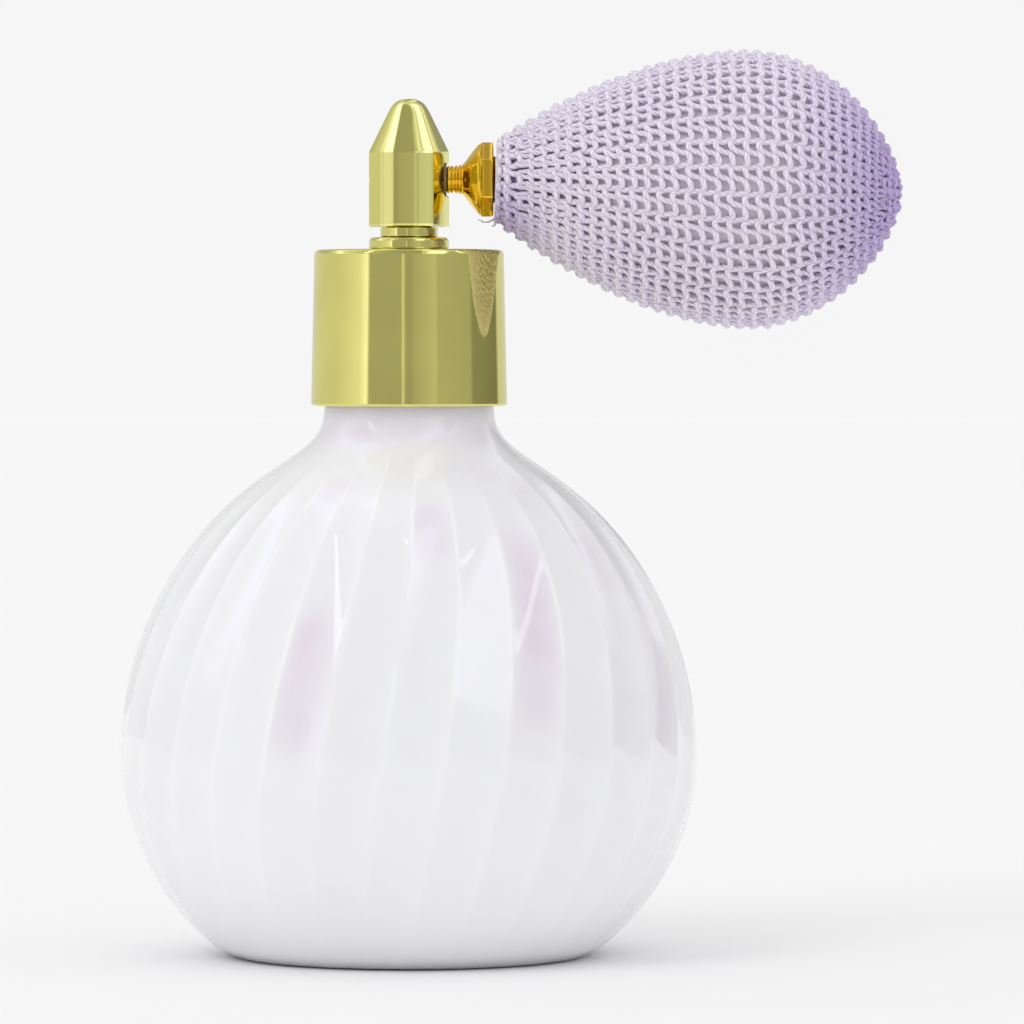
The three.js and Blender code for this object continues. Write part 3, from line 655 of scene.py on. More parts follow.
def lilac_patches_and_ridge_highlights(piece, ribs):
    """Stores how clouded each point is, and the painted highlight of its ridge. A patch fills one
    flute: sin of the place across it, to the power 0.6, times a smooth rise and fall along its
    height. The neck is clouded too. The painted highlight is a thin white line on chosen ridges,
    and every third ridge of the front half is given one as well."""
    x, y, z = points_of(piece.data).T / MM
    turns = np.mod(np.arctan2(y, x) - rib_twist(z), TURN) / TURN * ribs
    across = np.sin(math.pi * np.mod(turns, 1.0)).clip(0) ** 0.6
    value = 0.6 * ease(z, 71.5, 75) * (z < THREAD_FOOT_Z)
    for middle_x, middle_z, half, strength in PATCHES:
        flute = math.floor(flute_place(middle_x, middle_z, ribs))
        span_z = 1 - ease(np.abs(z - middle_z), half * 0.45, half)
        value = np.maximum(value, strength * across * span_z * (np.floor(turns) == flute))
    # painted highlight: thin white lines on the ridges between about 22 and 74 mm up, each ridge at
    # its own strength
    from_ridge = np.abs(np.mod(turns + 0.5, 1.0) - 0.5)
    height = ease(z, 22, 46) * (1 - ease(z, 66, 74))
    ridge_highlight_levels = np.full(ribs, 0.2)
    for x_there, z_there, amount in PAINTED_RIDGE_HIGHLIGHTS:
        ridge_highlight_levels[round(flute_place(x_there, z_there, ribs)) % ribs] = amount
    ridge_highlight_levels[ribs // 2::3] = 0.8
    nearest = np.round(turns).astype(int) % ribs
    painted_ridge_highlight = np.clip(1 - from_ridge / 0.045, 0, 1) ** 0.6 * height * ridge_highlight_levels[nearest]
    store(piece.data, "lilac", value)
    store(piece.data, "ridge", painted_ridge_highlight)


HEAD_R = 5.8


def head_sections():
    """Rows of the head: radius across the corners and height, from the top point down the
    outside to the foot."""
    outline = [(HEAD_R - 0.2, HEAD_LOW[2])]
    lower = np.array([(HEAD_R - 0.12, 104.17), (HEAD_R - 0.04, 104.23), (HEAD_R, 104.34)])
    wall = np.stack([np.full(9, HEAD_R), np.linspace(104.7, 114.3, 9)], -1)
    bend = np.array([(5.8, 114.55), (5.785, 114.72), (5.75, 114.88), (5.69, 115.03), (5.61, 115.2)])
    slope = np.stack([np.linspace(5.5, 3.15, 8), np.linspace(115.42, 120.2, 8)], -1)
    top = cubic((3.15, 120.2), (2.5, 121.55), (1.9, 122.35), (0.5, HEAD_HIGH[2]), 12)
    outline = np.vstack([outline, lower, wall, bend, slope, top, [(0, HEAD_HIGH[2])]])
    return outline[::-1]


def hexagonal_rows(radii, heights, fillet, pillow, corner):
    """Rows of hexagonal sections. A facet is its flat plus pillow * w * (1 - s^2), with s from
    -1 to 1 over its half width w, and the corners between facets are arcs of radius fillet."""
    flat = np.array([-1, -0.97, -0.9, -0.7, -0.4, 0, 0.4, 0.7, 0.9, 0.97, 1.0])
    arc = np.linspace(0, 1, 7)[1:-1]
    radii, heights = np.array(radii)[:, None], np.array(heights)[:, None]
    fillet = np.minimum(fillet, 0.35 * radii)
    inradius, half = radii * math.cos(HEX / 2), radii / 2
    reach = half - fillet * math.tan(HEX / 2)
    rows = []
    for k in range(6):
        facing = corner + HEX * (k + 0.5)
        out = inradius + pillow * half * (1 - flat[None] ** 2)
        side = reach * flat[None]
        rows.append(np.stack([out * math.cos(facing) - side * math.sin(facing),
                              out * math.sin(facing) + side * math.cos(facing),
                              heights + 0 * side], -1))
        turn = facing + HEX * arc[None]
        hub = radii - fillet / math.cos(HEX / 2)
        hub_angle = facing + HEX / 2
        rows.append(np.stack([hub * math.cos(hub_angle) + fillet * np.cos(turn),
                              hub * math.sin(hub_angle) + fillet * np.sin(turn),
                              heights + 0 * fillet * turn], -1))
    return np.concatenate(rows, axis=1)


def head(settings):
    """The hexagonal head: sections from its top down to the foot, then the socket and the air
    chamber inside. The nozzle hole, the connector's hole and its spot face are cut out of it."""
    rows = head_sections()
    outside = hexagonal_rows(rows[:, 0], rows[:, 1], settings.corner / MM, settings.pillow,
                             HEAD_CORNER)
    angle = np.arctan2(outside[12, :, 1], outside[12, :, 0])
    bores = rounded([(0, 113.5), (2.6, 113.5), (2.6, 108.1), (3.3, 108.1), (3.3, 104.15),
                     (5.0, 104.15)], [0, 0.3, 0.1, 0.1, 0.18, 0])
    inside = about_z(bores[::-1, :1], bores[::-1, 1:], angle[None])
    piece = surface("Spray_Head", np.vstack([outside, inside]))
    holes = [
        along_x(revolve("Nozzle_Hole", [(0, -7), (0.95, -7), (0.95, -1.5), (0, -1.5)], 40)),
        along_x(revolve("Connector_Hole", [(0, 1.5), (1.85, 1.5), (1.85, 7), (0, 7)], 48)),
        along_x(revolve("Spot_Face", [(0, 4.85), (2.6, 4.85), (2.6, 7), (0, 7)], 64)),
    ]
    return cut_away(piece, holes)


def connector():
    """The trumpet: an outline about its axis, whose radius at the rim is that of a hexagon,
    inradius / cos(angle from the flat), capped just under its corners."""
    steps = np.radians([0, 1, 2.2, 4, 8, 14, 22, 30])
    offsets = np.concatenate([-steps[6:0:-1], steps])
    angle = (np.arange(6)[:, None] * HEX + offsets).ravel()
    neck_x = 5.45
    rings = [(x + d, r) for x, crest in ((6.15, 2.0), (6.75, 2.07), (7.25, 2.14))
             for d, r in ((-0.2, 1.78), (-0.12, crest - 0.08), (0, crest), (0.12, crest - 0.08),
                          (0.2, 1.78))]
    flare = cubic((7.5, 2.05), (8.0, 2.3), (8.6, 3.6), (9.93, 5.0), 22)
    outer = np.vstack([
        [(2.75, 1.55), (2.85, 1.7), (5.4, 1.7), (neck_x, 1.75), (5.47, 1.93), (5.75, 1.95),
         (5.85, 1.85)],
        rings, [(7.5, 2.05)], flare,
        [(10.0, 5.04), (10.06, 5.05), (10.18, 5.05), (10.23, 5.03)],
    ])
    rim = np.array([(10.25, 5.16), (10.3, 5.3), (10.42, 5.36), (10.8, 5.36), (11.4, 5.36),
                    (11.85, 5.36), (11.98, 5.31), (12.04, 5.2), (12.05, 5.0)])
    tail = np.array([(12.05, 4.3), (12.05, 3.4), (12.07, 3.32), (12.3, 3.3), (14.1, 3.3),
                     (14.38, 3.5), (14.5, 3.5), (15.8, 3.3), (15.98, 3.5), (16.1, 3.5),
                     (18.2, 3.12), (18.3, 3.0), (18.3, 2.35), (18.2, 2.3), (13.85, 2.3),
                     (13.85, 1.65), (13.8, 1.6), (8.3, 1.6), (8.3, 0.95), (8.25, 0.9),
                     (2.75, 0.9), (2.75, 1.3)])
    outline = np.vstack([outer, rim, tail])
    hexed = np.zeros(len(outline))
    hexed[len(outer):len(outer) + len(rim)] = 1
    from_corner = np.abs(np.mod(angle + HEX / 2, HEX) - HEX / 2)
    hexagon = np.minimum(math.cos(HEX / 2) / np.cos(HEX / 2 - from_corner), 0.988)
    radius = outline[:, 1:] * (1 + hexed[:, None] * (hexagon[None] - 1))
    points = about_z(radius, outline[:, :1], angle[None])[::-1]
    return along_x(surface("Bulb_Connector", points, wrap_rows=True))


def pear(inset, from_s, to_s, count):
    """Radius and place along the bulb's axis. The front's radius is R (1 - 0.7 u^1.8) with u
    from 1 at the mouth to 0 at the widest place; the tail's is R (1 - t^2)^0.635."""
    turn = np.linspace(0, 1, count)
    front = from_s + (BULB_FRONT - from_s) * turn
    u = (BULB_FRONT - front) / BULB_FRONT
    t = np.sin(turn * math.pi / 2)[1:]
    end = BULB_TAIL - to_s
    body = np.stack([BULB_R * (1 - 0.7 * u ** 1.8) - inset, front], -1)
    tail = np.stack([(BULB_R - inset) * (1 - t * t) ** 0.635, BULB_FRONT + end * t], -1)
    return np.vstack([body, tail])


def ended_at(outline, hole):
    """The outline up to where its tail narrows to a hole's radius."""
    keep = (outline[:, 0] > hole) | (outline[:, 1] < BULB_FRONT)
    last = int(np.sum(keep))
    a, b = outline[last - 1], outline[last]
    cut = a + (b - a) * (a[0] - hole) / (a[0] - b[0])
    return np.vstack([outline[:last], cut])


def bulb_skin():
    """The rubber bulb as one closed outline: outside, tail hole, inside, and the thick mouth."""
    outside = ended_at(pear(1.6, 0.1, 1.7, 50), 2.5)
    inside = ended_at(pear(3.2, 9, 3.4, 40), 2.5)
    outline = np.vstack([outside, inside[::-1], [(4.0, 6.3), (4.0, 5), (4.0, 0.3), (4.2, 0.1)]])
    return along_bulb(revolve("Rubber_Bulb", outline, 128))


def knit_path(settings):
    """The yarn of the cover as one long helix of stitches. In each stitch, with t from 0 to one
    turn: around = wale * (t + a sin 2t + e sin t), along = b (cos t - k cos 3t) / (1 - k)
    + g sin 2t, and depth = d cos 2t, so that heads and feet of the loops lie outside. Small
    uneven tensions, smooth along the yarn, are added to all three."""
    outline = pear(0, 0.1, 0.0, 260)[:-1]
    step = np.hypot(*np.diff(outline, axis=0).T)
    arc = np.concatenate([[0], np.cumsum(step)])
    course = settings.course / MM
    first_row = 0.15
    courses = int((arc[-1] - first_row - 0.6) / course)
    middle = first_row + course * (np.arange(courses) + 0.5)
    radius = np.interp(middle, arc, outline[:, 0])
    wales = np.where(radius < 3.9, settings.wales // 4,
                     np.where(radius < 8.4, settings.wales // 2, settings.wales))
    stitch_wales = np.repeat(wales, wales)
    stitch_course = np.repeat(np.arange(courses), wales)
    first = np.repeat(np.cumsum(wales) - wales, wales)
    order = np.arange(len(stitch_wales)) - first
    t = (np.arange(settings.samples) * TURN / settings.samples)[None]
    wide = stitch_wales[:, None]
    knots = len(stitch_wales) * 4
    loose = np.random.default_rng(7).normal(0, 1, (3, knots + 1))
    where = np.arange(len(stitch_wales) * settings.samples) * 4 / settings.samples
    uneven = np.array([np.interp(where, np.arange(knots + 1), row) for row in loose])
    around = (order[:, None] + (t + 0.32 * np.sin(2 * t) + 0.22 * np.sin(t)) / TURN) / wide
    lean = stitch_course[:, None] + (order[:, None] + t / TURN) / wide
    reach, cusp = settings.reach / MM, 0.06
    rise = reach * (np.cos(t) - cusp * np.cos(3 * t)) / (1 - cusp) + 0.16 * np.sin(2 * t)
    at = (first_row + course * lean + rise).ravel() + 0.09 * uneven[0]
    at = np.clip(at, 0.25, arc[-1] - 0.45)
    ring = np.interp(at, arc, outline[:, 0])
    angle = (around * TURN).ravel() + 0.09 * uneven[1] / np.maximum(ring, 2)
    place_s = np.interp(at, arc, outline[:, 1])
    slope_r = np.gradient(outline[:, 0], arc)
    slope_s = np.gradient(outline[:, 1], arc)
    out_r, out_s = np.interp(at, arc, slope_s), -np.interp(at, arc, slope_r)
    size = np.hypot(out_r, out_s)
    out_r, out_s = out_r / size, out_s / size
    room = TURN * np.repeat(radius[stitch_course] / stitch_wales, settings.samples)
    thick = settings.yarn / MM * np.clip(room / 2.3, 0.72, 1.0)
    wave = 0.27
    depth = 0.1 - thick - wave + wave * np.tile(np.cos(2 * t[0]), len(stitch_wales))
    depth = depth + 0.05 * uneven[2]
    ring, place_s = ring + out_r * depth, place_s + out_s * depth
    path = np.stack([ring * np.cos(angle), ring * np.sin(angle), place_s], -1)
    toward = np.stack([out_r * np.cos(angle), out_r * np.sin(angle), out_s], -1)
    return path, toward, thick


def knit_cover(settings):
    """The cover in two lengths of the same yarn, which meet about half way along it."""
    path, toward, thick = knit_path(settings)
    half = len(path) // 2
    lengths = (("Knit_Cover_Front", slice(None, half + 1)), ("Knit_Cover_Back", slice(half, None)))
    return [along_bulb(tube(name, path[cut], thick[cut], 6, toward[cut]))
            for name, cut in lengths]


def wound_thread(name, radius, s, thick, laps, spread):
    """A thread wound round the cover: a ring path that climbs from lap to lap and sinks
    between the yarns with radius + 0.05 sin 9a."""
    a = np.linspace(0, laps * TURN, int(laps * 60))
    r = radius + 0.05 * np.sin(9 * a)
    climb = s + spread * (a / (laps * TURN) - 0.5)
    path = np.stack([r * np.cos(a), r * np.sin(a), climb], -1)
    return along_bulb(tube(name, path, thick, 8, np.stack([np.cos(a), np.sin(a), 0 * a], -1)))


def loose_end(name, start, end, sag, thick, curls):
    """A loose end of yarn from start to end: a straight line plus sag * 4u(1 - u) downwards and
    small curls sin and cos of curls * turns * u, thinning to a wisp."""
    u = np.linspace(0, 1, 48)[:, None]
    start, end = np.array(start, float), np.array(end, float)
    path = start + (end - start) * u
    path[:, 2:] -= sag * 4 * u * (1 - u)
    path[:, :1] += 0.22 * np.sin(TURN * curls * u) * u
    path[:, 1:2] += 0.22 * (np.cos(TURN * curls * u) - 1) * u
    return tube(name, path, thick * (1 - 0.65 * u[:, 0]), 7)


def small_parts():
    """The small turned parts: corners about Z for turned(), and how each part is laid."""
    return {
        "Sealing_Gasket": ([(7.6, 95.5, 0.2), (10.4, 95.5, 0.2), (10.4, 96.85, 0.2),
                            (7.6, 96.85, 0.2)], None),
        "Slip_Washer": ([(4.2, 98.3, 0.08), (9.6, 98.3, 0.08), (9.6, 98.75, 0.08),
                         (4.2, 98.75, 0.08)], None),
        "Tube_Holder": ([(1.95, 91.5, 0.1), (6.7, 91.5, 0.2), (7.3, 92.5, 0.3),
                         (7.3, 96.95, 0.15), (10.2, 96.95, 0.12), (10.2, 98.2, 0.12),
                         (2.6, 98.2, 0.15), (2.6, 100.5, 0.15), (1.95, 100.5, 0.1)], None),
        "Connector_Washer": ([(1.85, 4.95, 0.08), (2.4, 4.95, 0.1), (2.4, 5.35, 0.1),
                              (1.85, 5.35, 0.08)], along_x),
        "Nozzle_Tip": ([(0.25, -5.3, 0.05), (0.85, -5.3, 0.12), (0.85, -2.95, 0.1),
                        (0.6, -2.95, 0.05), (0.25, -3.9, 0.05)], along_x),
        "Outlet_Valve_Bush": ([(0.8, 13.9, 0.1), (2.2, 13.9, 0.1), (2.2, 18.0, 0.15),
                               (0.8, 18.0, 0.1)], along_x),
        "Inlet_Valve_Body": ([(1.45, 51.4, 0.05), (2.3, 51.4, 0.08), (2.3, 52.6, 0.1),
                              (3.2, 52.6, 0.1), (3.2, 53.4, 0.15), (2.3, 53.4, 0.1),
                              (2.3, 56.2, 0.25), (0.7, 56.2, 0.2), (0.7, 55.5, 0.05),
                              (1.45, 55.5, 0.1)], along_bulb),
    }


def ball(name, radius, centre, laying):
    """A ball: (r sin b cos a, r sin b sin a, c + r cos b)."""
    b = np.linspace(0, math.pi, 33)
    outline = np.stack([radius * np.sin(b), centre + radius * np.cos(b)], -1)
    outline[[0, -1], 0] = 0
    return laying(revolve(name, outline, 48))


def liner():
    """The collar's lining: a closed outline whose bore carries a helical ridge that turns with
    the neck's thread."""
    bore = np.linspace(98.6, 79.5, 110)
    rest = rounded([(11.95, 79.3), (12.7, 79.3), (12.7, 99.9), (5.15, 99.9), (5.15, 98.85),
                    (11.95, 98.85)], [0.1, 0.15, 0.2, 0.1, 0.1, 0.1], 3)
    outline = np.vstack([rest, np.stack([np.full(len(bore), 11.95), bore], -1)])
    angle = np.arange(120) * TURN / 120
    on_bore = (np.arange(len(outline)) >= len(rest))[:, None]
    ridge = thread_height(angle[None], outline[:, 1:], 86.95, 1.1, 1.3, 0.6) * on_bore
    points = about_z(outline[:, :1] - ridge, outline[:, 1:], angle[None])
    return surface("Collar_Lining", points[::-1], wrap_rows=True)


def coil_spring():
    """Wire along (r cos a, r sin a, climb), with its end turns wound close: the climb follows
    the share of the turn through u - 0.06 sin(2 pi u)."""
    u = np.linspace(0, 1, 260)
    a = u * 4 * TURN
    x = 8.57 + (11.49 - 8.57) * (u - 0.06 * np.sin(TURN * u))
    path = np.stack([1.12 * np.cos(a), 1.12 * np.sin(a), x], -1)
    return along_x(tube("Outlet_Valve_Spring", path, 0.17, 10))


def dip_tube():
    """A tube whose rows end at the foot on a slant: z = foot - x tan 35 degrees."""
    top, foot, slant_from = 109.3, 8.6, 30
    outer_r, bore_r = 1.5, 0.9
    angle = (np.arange(40) * TURN / 40)[None]
    height = np.linspace(top, foot, 40)[:, None]
    slant = ease(-height, -slant_from, -foot) * math.tan(math.radians(35)) * np.cos(angle)
    outside = about_z(outer_r, height - outer_r * slant, angle)
    bore = about_z(bore_r, height - bore_r * slant, angle)
    return surface("Dip_Tube", np.vstack([outside, bore[::-1]]), wrap_rows=True)


# ------------------------------------------------------------------ settings

def colour_setting(name, description, default):
    return bpy.props.FloatVectorProperty(name=name, description=description, default=default,
                                         subtype="COLOR", size=3, min=0.0, max=1.0)


def length_setting(name, description, millimetres, most):
    return bpy.props.FloatProperty(name=name, description=description, unit="LENGTH",
                                   default=millimetres * MM, min=0.0, max=most * MM, precision=5)


class GlassSettings(bpy.types.PropertyGroup):
    """The globe."""
    flutes: bpy.props.IntProperty(name="Flutes", description="Flutes round the globe",
                                  default=30, min=12, max=60)
    flute_depth: length_setting("Flute depth", "How deep each flute is", 0.45, 2)
    ridge_width: length_setting("Ridge rounding", "How far each ridge is rounded over", 0.22, 2)
    glass_colour: colour_setting("Glass", "Colour of the opal glass", (0.925, 0.915, 0.955))
    patch_colour: colour_setting("Clouds", "Colour of the clouded patches", (0.80, 0.70, 0.82))


class MetalSettings(bpy.types.PropertyGroup):
    """The plated pieces and the small parts inside."""
    pale_gold: colour_setting("Pale gold", "Plating of collar and head", (0.80, 0.75, 0.235))
    warm_gold: colour_setting("Warm gold", "Plating of the connector", (0.93, 0.58, 0.045))
    brass: colour_setting("Brass", "Turned parts inside", (0.62, 0.45, 0.17))
    steel: colour_setting("Steel", "Balls and spring", (0.55, 0.56, 0.58))
    white_plastic: colour_setting("White plastic", "Lining and tube holder", (0.86, 0.85, 0.82))
    clear_plastic: colour_setting("Clear plastic", "Dip tube and slip washer", (0.72, 0.76, 0.76))
    seal_foam: colour_setting("Seal", "Gasket under the collar", (0.66, 0.65, 0.62))
    washer: colour_setting("Washer", "Washer of the connector", (0.20, 0.11, 0.02))


class HeadSettings(bpy.types.PropertyGroup):
    """The hexagonal head."""
    corner: length_setting("Corner radius", "Rounding of the head's long corners", 0.28, 2)
    pillow: bpy.props.FloatProperty(
        name="Facet crown", description="Rise of a facet's middle, as a share of its half width",
        default=0.055, min=0.0, max=0.3, subtype="FACTOR")


class BulbSettings(bpy.types.PropertyGroup):
    """The rubber bulb and its knitted cover."""
    wales: bpy.props.IntProperty(name="Wales", description="Columns of stitches round the cover",
                                 default=32, min=12, max=60, step=4)
    course: length_setting("Course height", "From one round of stitches to the next", 2.03, 6)
    yarn: length_setting("Yarn radius", "Half the thickness of the yarn", 0.47, 1)
    reach: length_setting("Loop reach", "Half the height of one loop", 1.22, 4)
    samples: bpy.props.IntProperty(name="Steps", description="Steps along one stitch",
                                   default=16, min=8, max=24)
    yarn_colour: colour_setting("Yarn", "Colour of the yarn", (0.92, 0.85, 0.985))
    # painted shade of the yarn, towards the ends and between the plies
    yarn_painted_shade_colour: colour_setting("Yarn, gathered end", "Colour towards the tail",
                                (0.56, 0.43, 0.76))
    rubber_colour: colour_setting("Rubber", "Colour of the bulb", (0.93, 0.89, 0.96))
    # painted shade of the bulb's rubber towards its ends
    rubber_painted_shade_colour: colour_setting("Rubber, ends", "Colour of the bulb's shaded ends",
                                (0.34, 0.22, 0.42))


class StageSettings(bpy.types.PropertyGroup):
    """Floor, backdrop and light."""
    floor_colour: colour_setting("Floor", "Colour of the floor", (0.93, 0.93, 0.93))
    surround: bpy.props.FloatProperty(name="Surround", description="Light from all sides",
                                      default=0.86, min=0.0, max=4.0)
    backdrop: bpy.props.FloatProperty(name="Backdrop", description="Brightness of the backdrop",
                                      default=0.92, min=0.0, max=4.0)


# ------------------------------------------------------------------ operators

class ATOMISER_OT_glass(bpy.types.Operator):
    """Builds the fluted opal glass globe with its threaded neck"""
    bl_idname = "atomiser.glass"
    bl_label = "Glass Globe"

    def execute(self, context):
        settings = context.scene.atomiser_glass
        finished(bottle(settings), opal_glass(settings), "opal_glass", "bottle", "glass_bottle")
        return {"FINISHED"}


class ATOMISER_OT_collar(bpy.types.Operator):
    """Builds the plated collar, its threaded lining and the seals under it"""
    bl_idname = "atomiser.collar"
    bl_label = "Collar and Seals"

    def execute(self, context):
        colours = context.scene.atomiser_metal
        shell = turned("Collar", [
            (13.4, 78.6, 0.08), (13.86, 78.6, 0.14), (14.0, 78.85, 0.16), (13.54, 100.3, 0.5),
            (13.36, 100.72, 0.14), (12.94, 100.9, 0.3), (4.4, 100.9, 0.15), (4.4, 100.0, 0.1),
            (12.94, 100.0, 0.3),
        ], 160, 5)
        finished(shell, plated("Pale_Gold_Collar", colours.pale_gold), "pale_gold", "collar",
                 "collar_shell")
        white = moulded("White_Plastic", colours.white_plastic, 0.45)
        clear = moulded("Clear_Plastic", colours.clear_plastic, 0.3, 0.5)
        seal = matt_rubber("Seal_Foam", colours.seal_foam)
        finished(liner(), white, "white_plastic", "collar", "collar_insert")
        parts = small_parts()
        for name, material, slot, body, node in (
            ("Sealing_Gasket", seal, "seal_foam", "seal", "sealing_gasket"),
            ("Slip_Washer", clear, "clear_plastic", "seal", "slip_washer"),
            ("Tube_Holder", white, "white_plastic", "sprayer", "tube_holder"),
        ):
            corners, _ = parts[name]
            finished(turned(name, corners, 96), material, slot, body, node)
        finished(dip_tube(), clear, "clear_plastic", "sprayer", "dip_tube")
        return {"FINISHED"}


class ATOMISER_OT_head(bpy.types.Operator):
    """Builds the hexagonal head, its ring and stem, and the jet and nozzle inside"""
    bl_idname = "atomiser.head"
    bl_label = "Spray Head"

    def execute(self, context):
        colours = context.scene.atomiser_metal
        gold = plated("Pale_Gold_Ring", colours.pale_gold)
        # the head's plating carries painted reflections on its facets
        gold_painted_reflections = plated("Pale_Gold_Head_Painted_Reflections", colours.pale_gold, paint_facet_reflections=True)
        finished(head(context.scene.atomiser_head), gold_painted_reflections, "pale_gold", "sprayer", "head_body")
        ring = turned("Head_Ring", [
            (4.0, 101.0, 0.08), (5.55, 101.0, 0.12), (5.7, 101.15, 0.12), (5.7, 102.3, 0.3),
            (5.35, 102.65, 0.3), (4.0, 102.65, 0.1),
        ], 128, 5)
        finished(ring, gold, "pale_gold", "sprayer", "ring_flange")
        stem = turned("Head_Stem", [
            (2.7, 98.35, 0.1), (3.85, 98.35, 0.2), (3.85, 102.75, 0.0), (4.1, 102.75, 0.15),
            (4.1, 104.05, 0.15), (3.15, 104.05, 0.1), (3.15, 107.15, 0.15), (2.1, 107.15, 0.1),
            (2.1, 100.7, 0.1), (2.7, 100.7, 0.1),
        ], 96)
        finished(stem, gold, "pale_gold", "sprayer", "head_stem")
        brass = turned_metal("Turned_Brass", colours.brass)
        corners, laying = small_parts()["Nozzle_Tip"]
        finished(laying(turned("Nozzle_Tip", corners, 64)), brass, "inner_brass", "sprayer",
                 "nozzle_tip")
        refinished("liquid_jet", brass)
        return {"FINISHED"}


class ATOMISER_OT_connector(bpy.types.Operator):
    """Builds the warm gold trumpet with its hexagonal rim, its washer and the outlet valve"""
    bl_idname = "atomiser.connector"
    bl_label = "Bulb Connector"

    def execute(self, context):
        colours = context.scene.atomiser_metal
        warm = plated("Warm_Gold", colours.warm_gold, 0.07)
        finished(connector(), warm, "warm_gold", "sprayer", "bulb_nut")
        seal = matt_rubber("Washer_Seal", colours.washer)
        brass = turned_metal("Valve_Brass", colours.brass)
        steel = turned_metal("Valve_Steel", colours.steel, 0.2)
        parts = small_parts()
        for name, material, slot, node in (
            ("Connector_Washer", seal, "seal_foam", "connector_washer"),
            ("Outlet_Valve_Bush", brass, "inner_brass", "outlet_valve_seat"),
        ):
            corners, laying = parts[name]
            finished(laying(turned(name, corners, 72)), material, slot, "sprayer", node)
        spring = finished(coil_spring(), steel, "steel", "sprayer", "outlet_valve_spring")
        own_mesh(spring)
        finished(ball("Outlet_Valve_Ball", 1.25, 12.86, along_x), steel, "steel", "outlet_ball",
                 "outlet_valve_ball")
        return {"FINISHED"}


class ATOMISER_OT_bulb(bpy.types.Operator):
    """Builds the rubber bulb and the inlet valve in its tail"""
    bl_idname = "atomiser.bulb"
    bl_label = "Rubber Bulb"

    def execute(self, context):
        settings = context.scene.atomiser_bulb
        colours = context.scene.atomiser_metal
        rubber = matt_rubber("Bulb_Rubber", settings.rubber_colour, settings.rubber_painted_shade_colour)
        skin = finished(bulb_skin(), rubber, "bulb_rubber", None, "rubber_bulb")
        # painted shade towards both ends of the bulb
        store_painted_end_shade(skin, (17, 30, 1.0), (58, 70), 140)
        bend_with_bulb(skin)
        brass = turned_metal("Inlet_Brass", colours.brass)
        steel = turned_metal("Inlet_Steel", colours.steel, 0.2)
        corners, laying = small_parts()["Inlet_Valve_Body"]
        finished(laying(turned("Inlet_Valve_Body", corners, 72)), brass, "inner_brass",
                 "bulb_tail", "inlet_valve_body")
        refinished("inlet_valve_cage", brass)
        finished(ball("Inlet_Valve_Ball", 1.15, 54.51, along_bulb), steel, "steel", "inlet_ball",
                 "inlet_valve_ball")
        return {"FINISHED"}


def store_painted_end_shade(piece, mouth, tail, low):
    """Stores the painted shade towards the gathered ends: smooth rises over the lengths `mouth`
    and `tail` along X, the mouth's only below the height `low` fading in over 9 mm."""
    x, _, z = points_of(piece.data).T / MM
    at_mouth = mouth[2] * (1 - ease(x, *mouth[:2])) * (1 - ease(z, low - 9, low))
    store(piece.data, "ends", np.maximum(at_mouth, ease(x, *tail)))


def bend_with_bulb(piece):
    """Bakes the piece's transform into its mesh."""
    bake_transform(piece)


class ATOMISER_OT_cover(bpy.types.Operator):
    """Knits the cover of the bulb from one yarn and ties it at both ends"""
    bl_idname = "atomiser.cover"
    bl_label = "Knitted Cover"

    def execute(self, context):
        settings = context.scene.atomiser_bulb
        yarn = silky_yarn("Lilac_Yarn", settings.yarn_colour, settings.yarn_painted_shade_colour)
        for piece in knit_cover(settings):
            finished(piece, yarn, "lilac_yarn", None, "knit_cover")
            # painted shade on the yarn towards the tail and under the mouth
            store_painted_end_shade(piece, (12.5, 21, 0.75), (52, 71.5), 113)
            bend_with_bulb(piece)
        thread = silky_yarn("Tie_Yarn", settings.yarn_colour, settings.yarn_painted_shade_colour, 2, 1.6)
        finished(wound_thread("Tie_Thread", 5.4, 0.48, 0.24, 3, 0.5), thread, "lilac_yarn",
                 "sprayer", "tie_thread")
        for number, (reach, side, drop) in enumerate(((2.6, -2.2, -0.4), (0.6, -3.0, -1.2))):
            start = BULB_MOUTH + np.array([0.2, -1.2, -5.3])
            end = start + np.array([-reach, side, drop])
            tail = loose_end(f"Tie_End_{number + 1}", start, end, 0.5, 0.2, 2.5)
            finished(tail, thread, "lilac_yarn", "sprayer", "tie_thread")
        finished(wound_thread("Gather_Thread", 0.62, 57.3, 0.22, 2, 0.3), thread, "lilac_yarn",
                 "bulb_tail", "gather_thread")
        return {"FINISHED"}


LIGHT_LEVELS = (  # direction in degrees from straight ahead towards the bulb's side, and level
    (-180, 0.74), (-96, 0.74), (-82, 0.8), (-60, 0.95), (-50, 1.3), (-47.5, 0.45), (-8, 0.45),
    (-7, 0.8), (-5, 0.8), (-4, 0.42), (3, 0.40), (6, 0.47), (33, 0.62), (35, 0.5), (78, 0.46),
    (82, 0.30), (127, 0.24), (132, 0.74), (180, 0.74),
)
HIGH_LEVELS = (  # the same, for what lies higher up
    (-180, 0.6), (-124, 0.55), (-116, 0.62), (-104, 0.85), (-92, 1.5), (-82, 0.9), (-30, 0.45),
    (-4, 0.40), (16.5, 0.43), (17.2, 1.0), (18.6, 1.0), (19.4, 0.5), (20.4, 0.5), (21.6, 1.25),
    (42, 1.5), (48, 0.5), (112, 0.5), (126, 1.1), (136, 0.4), (146, 0.3), (158, 0.3),
    (164, 0.6), (180, 0.6),
)
STRIP_LIGHTS = (  # first and last direction, lowest and highest climb, all in degrees; power
    (-57, -54, 20, 70, 2.6),
    (70, 73, 20, 60, 2.2),
)


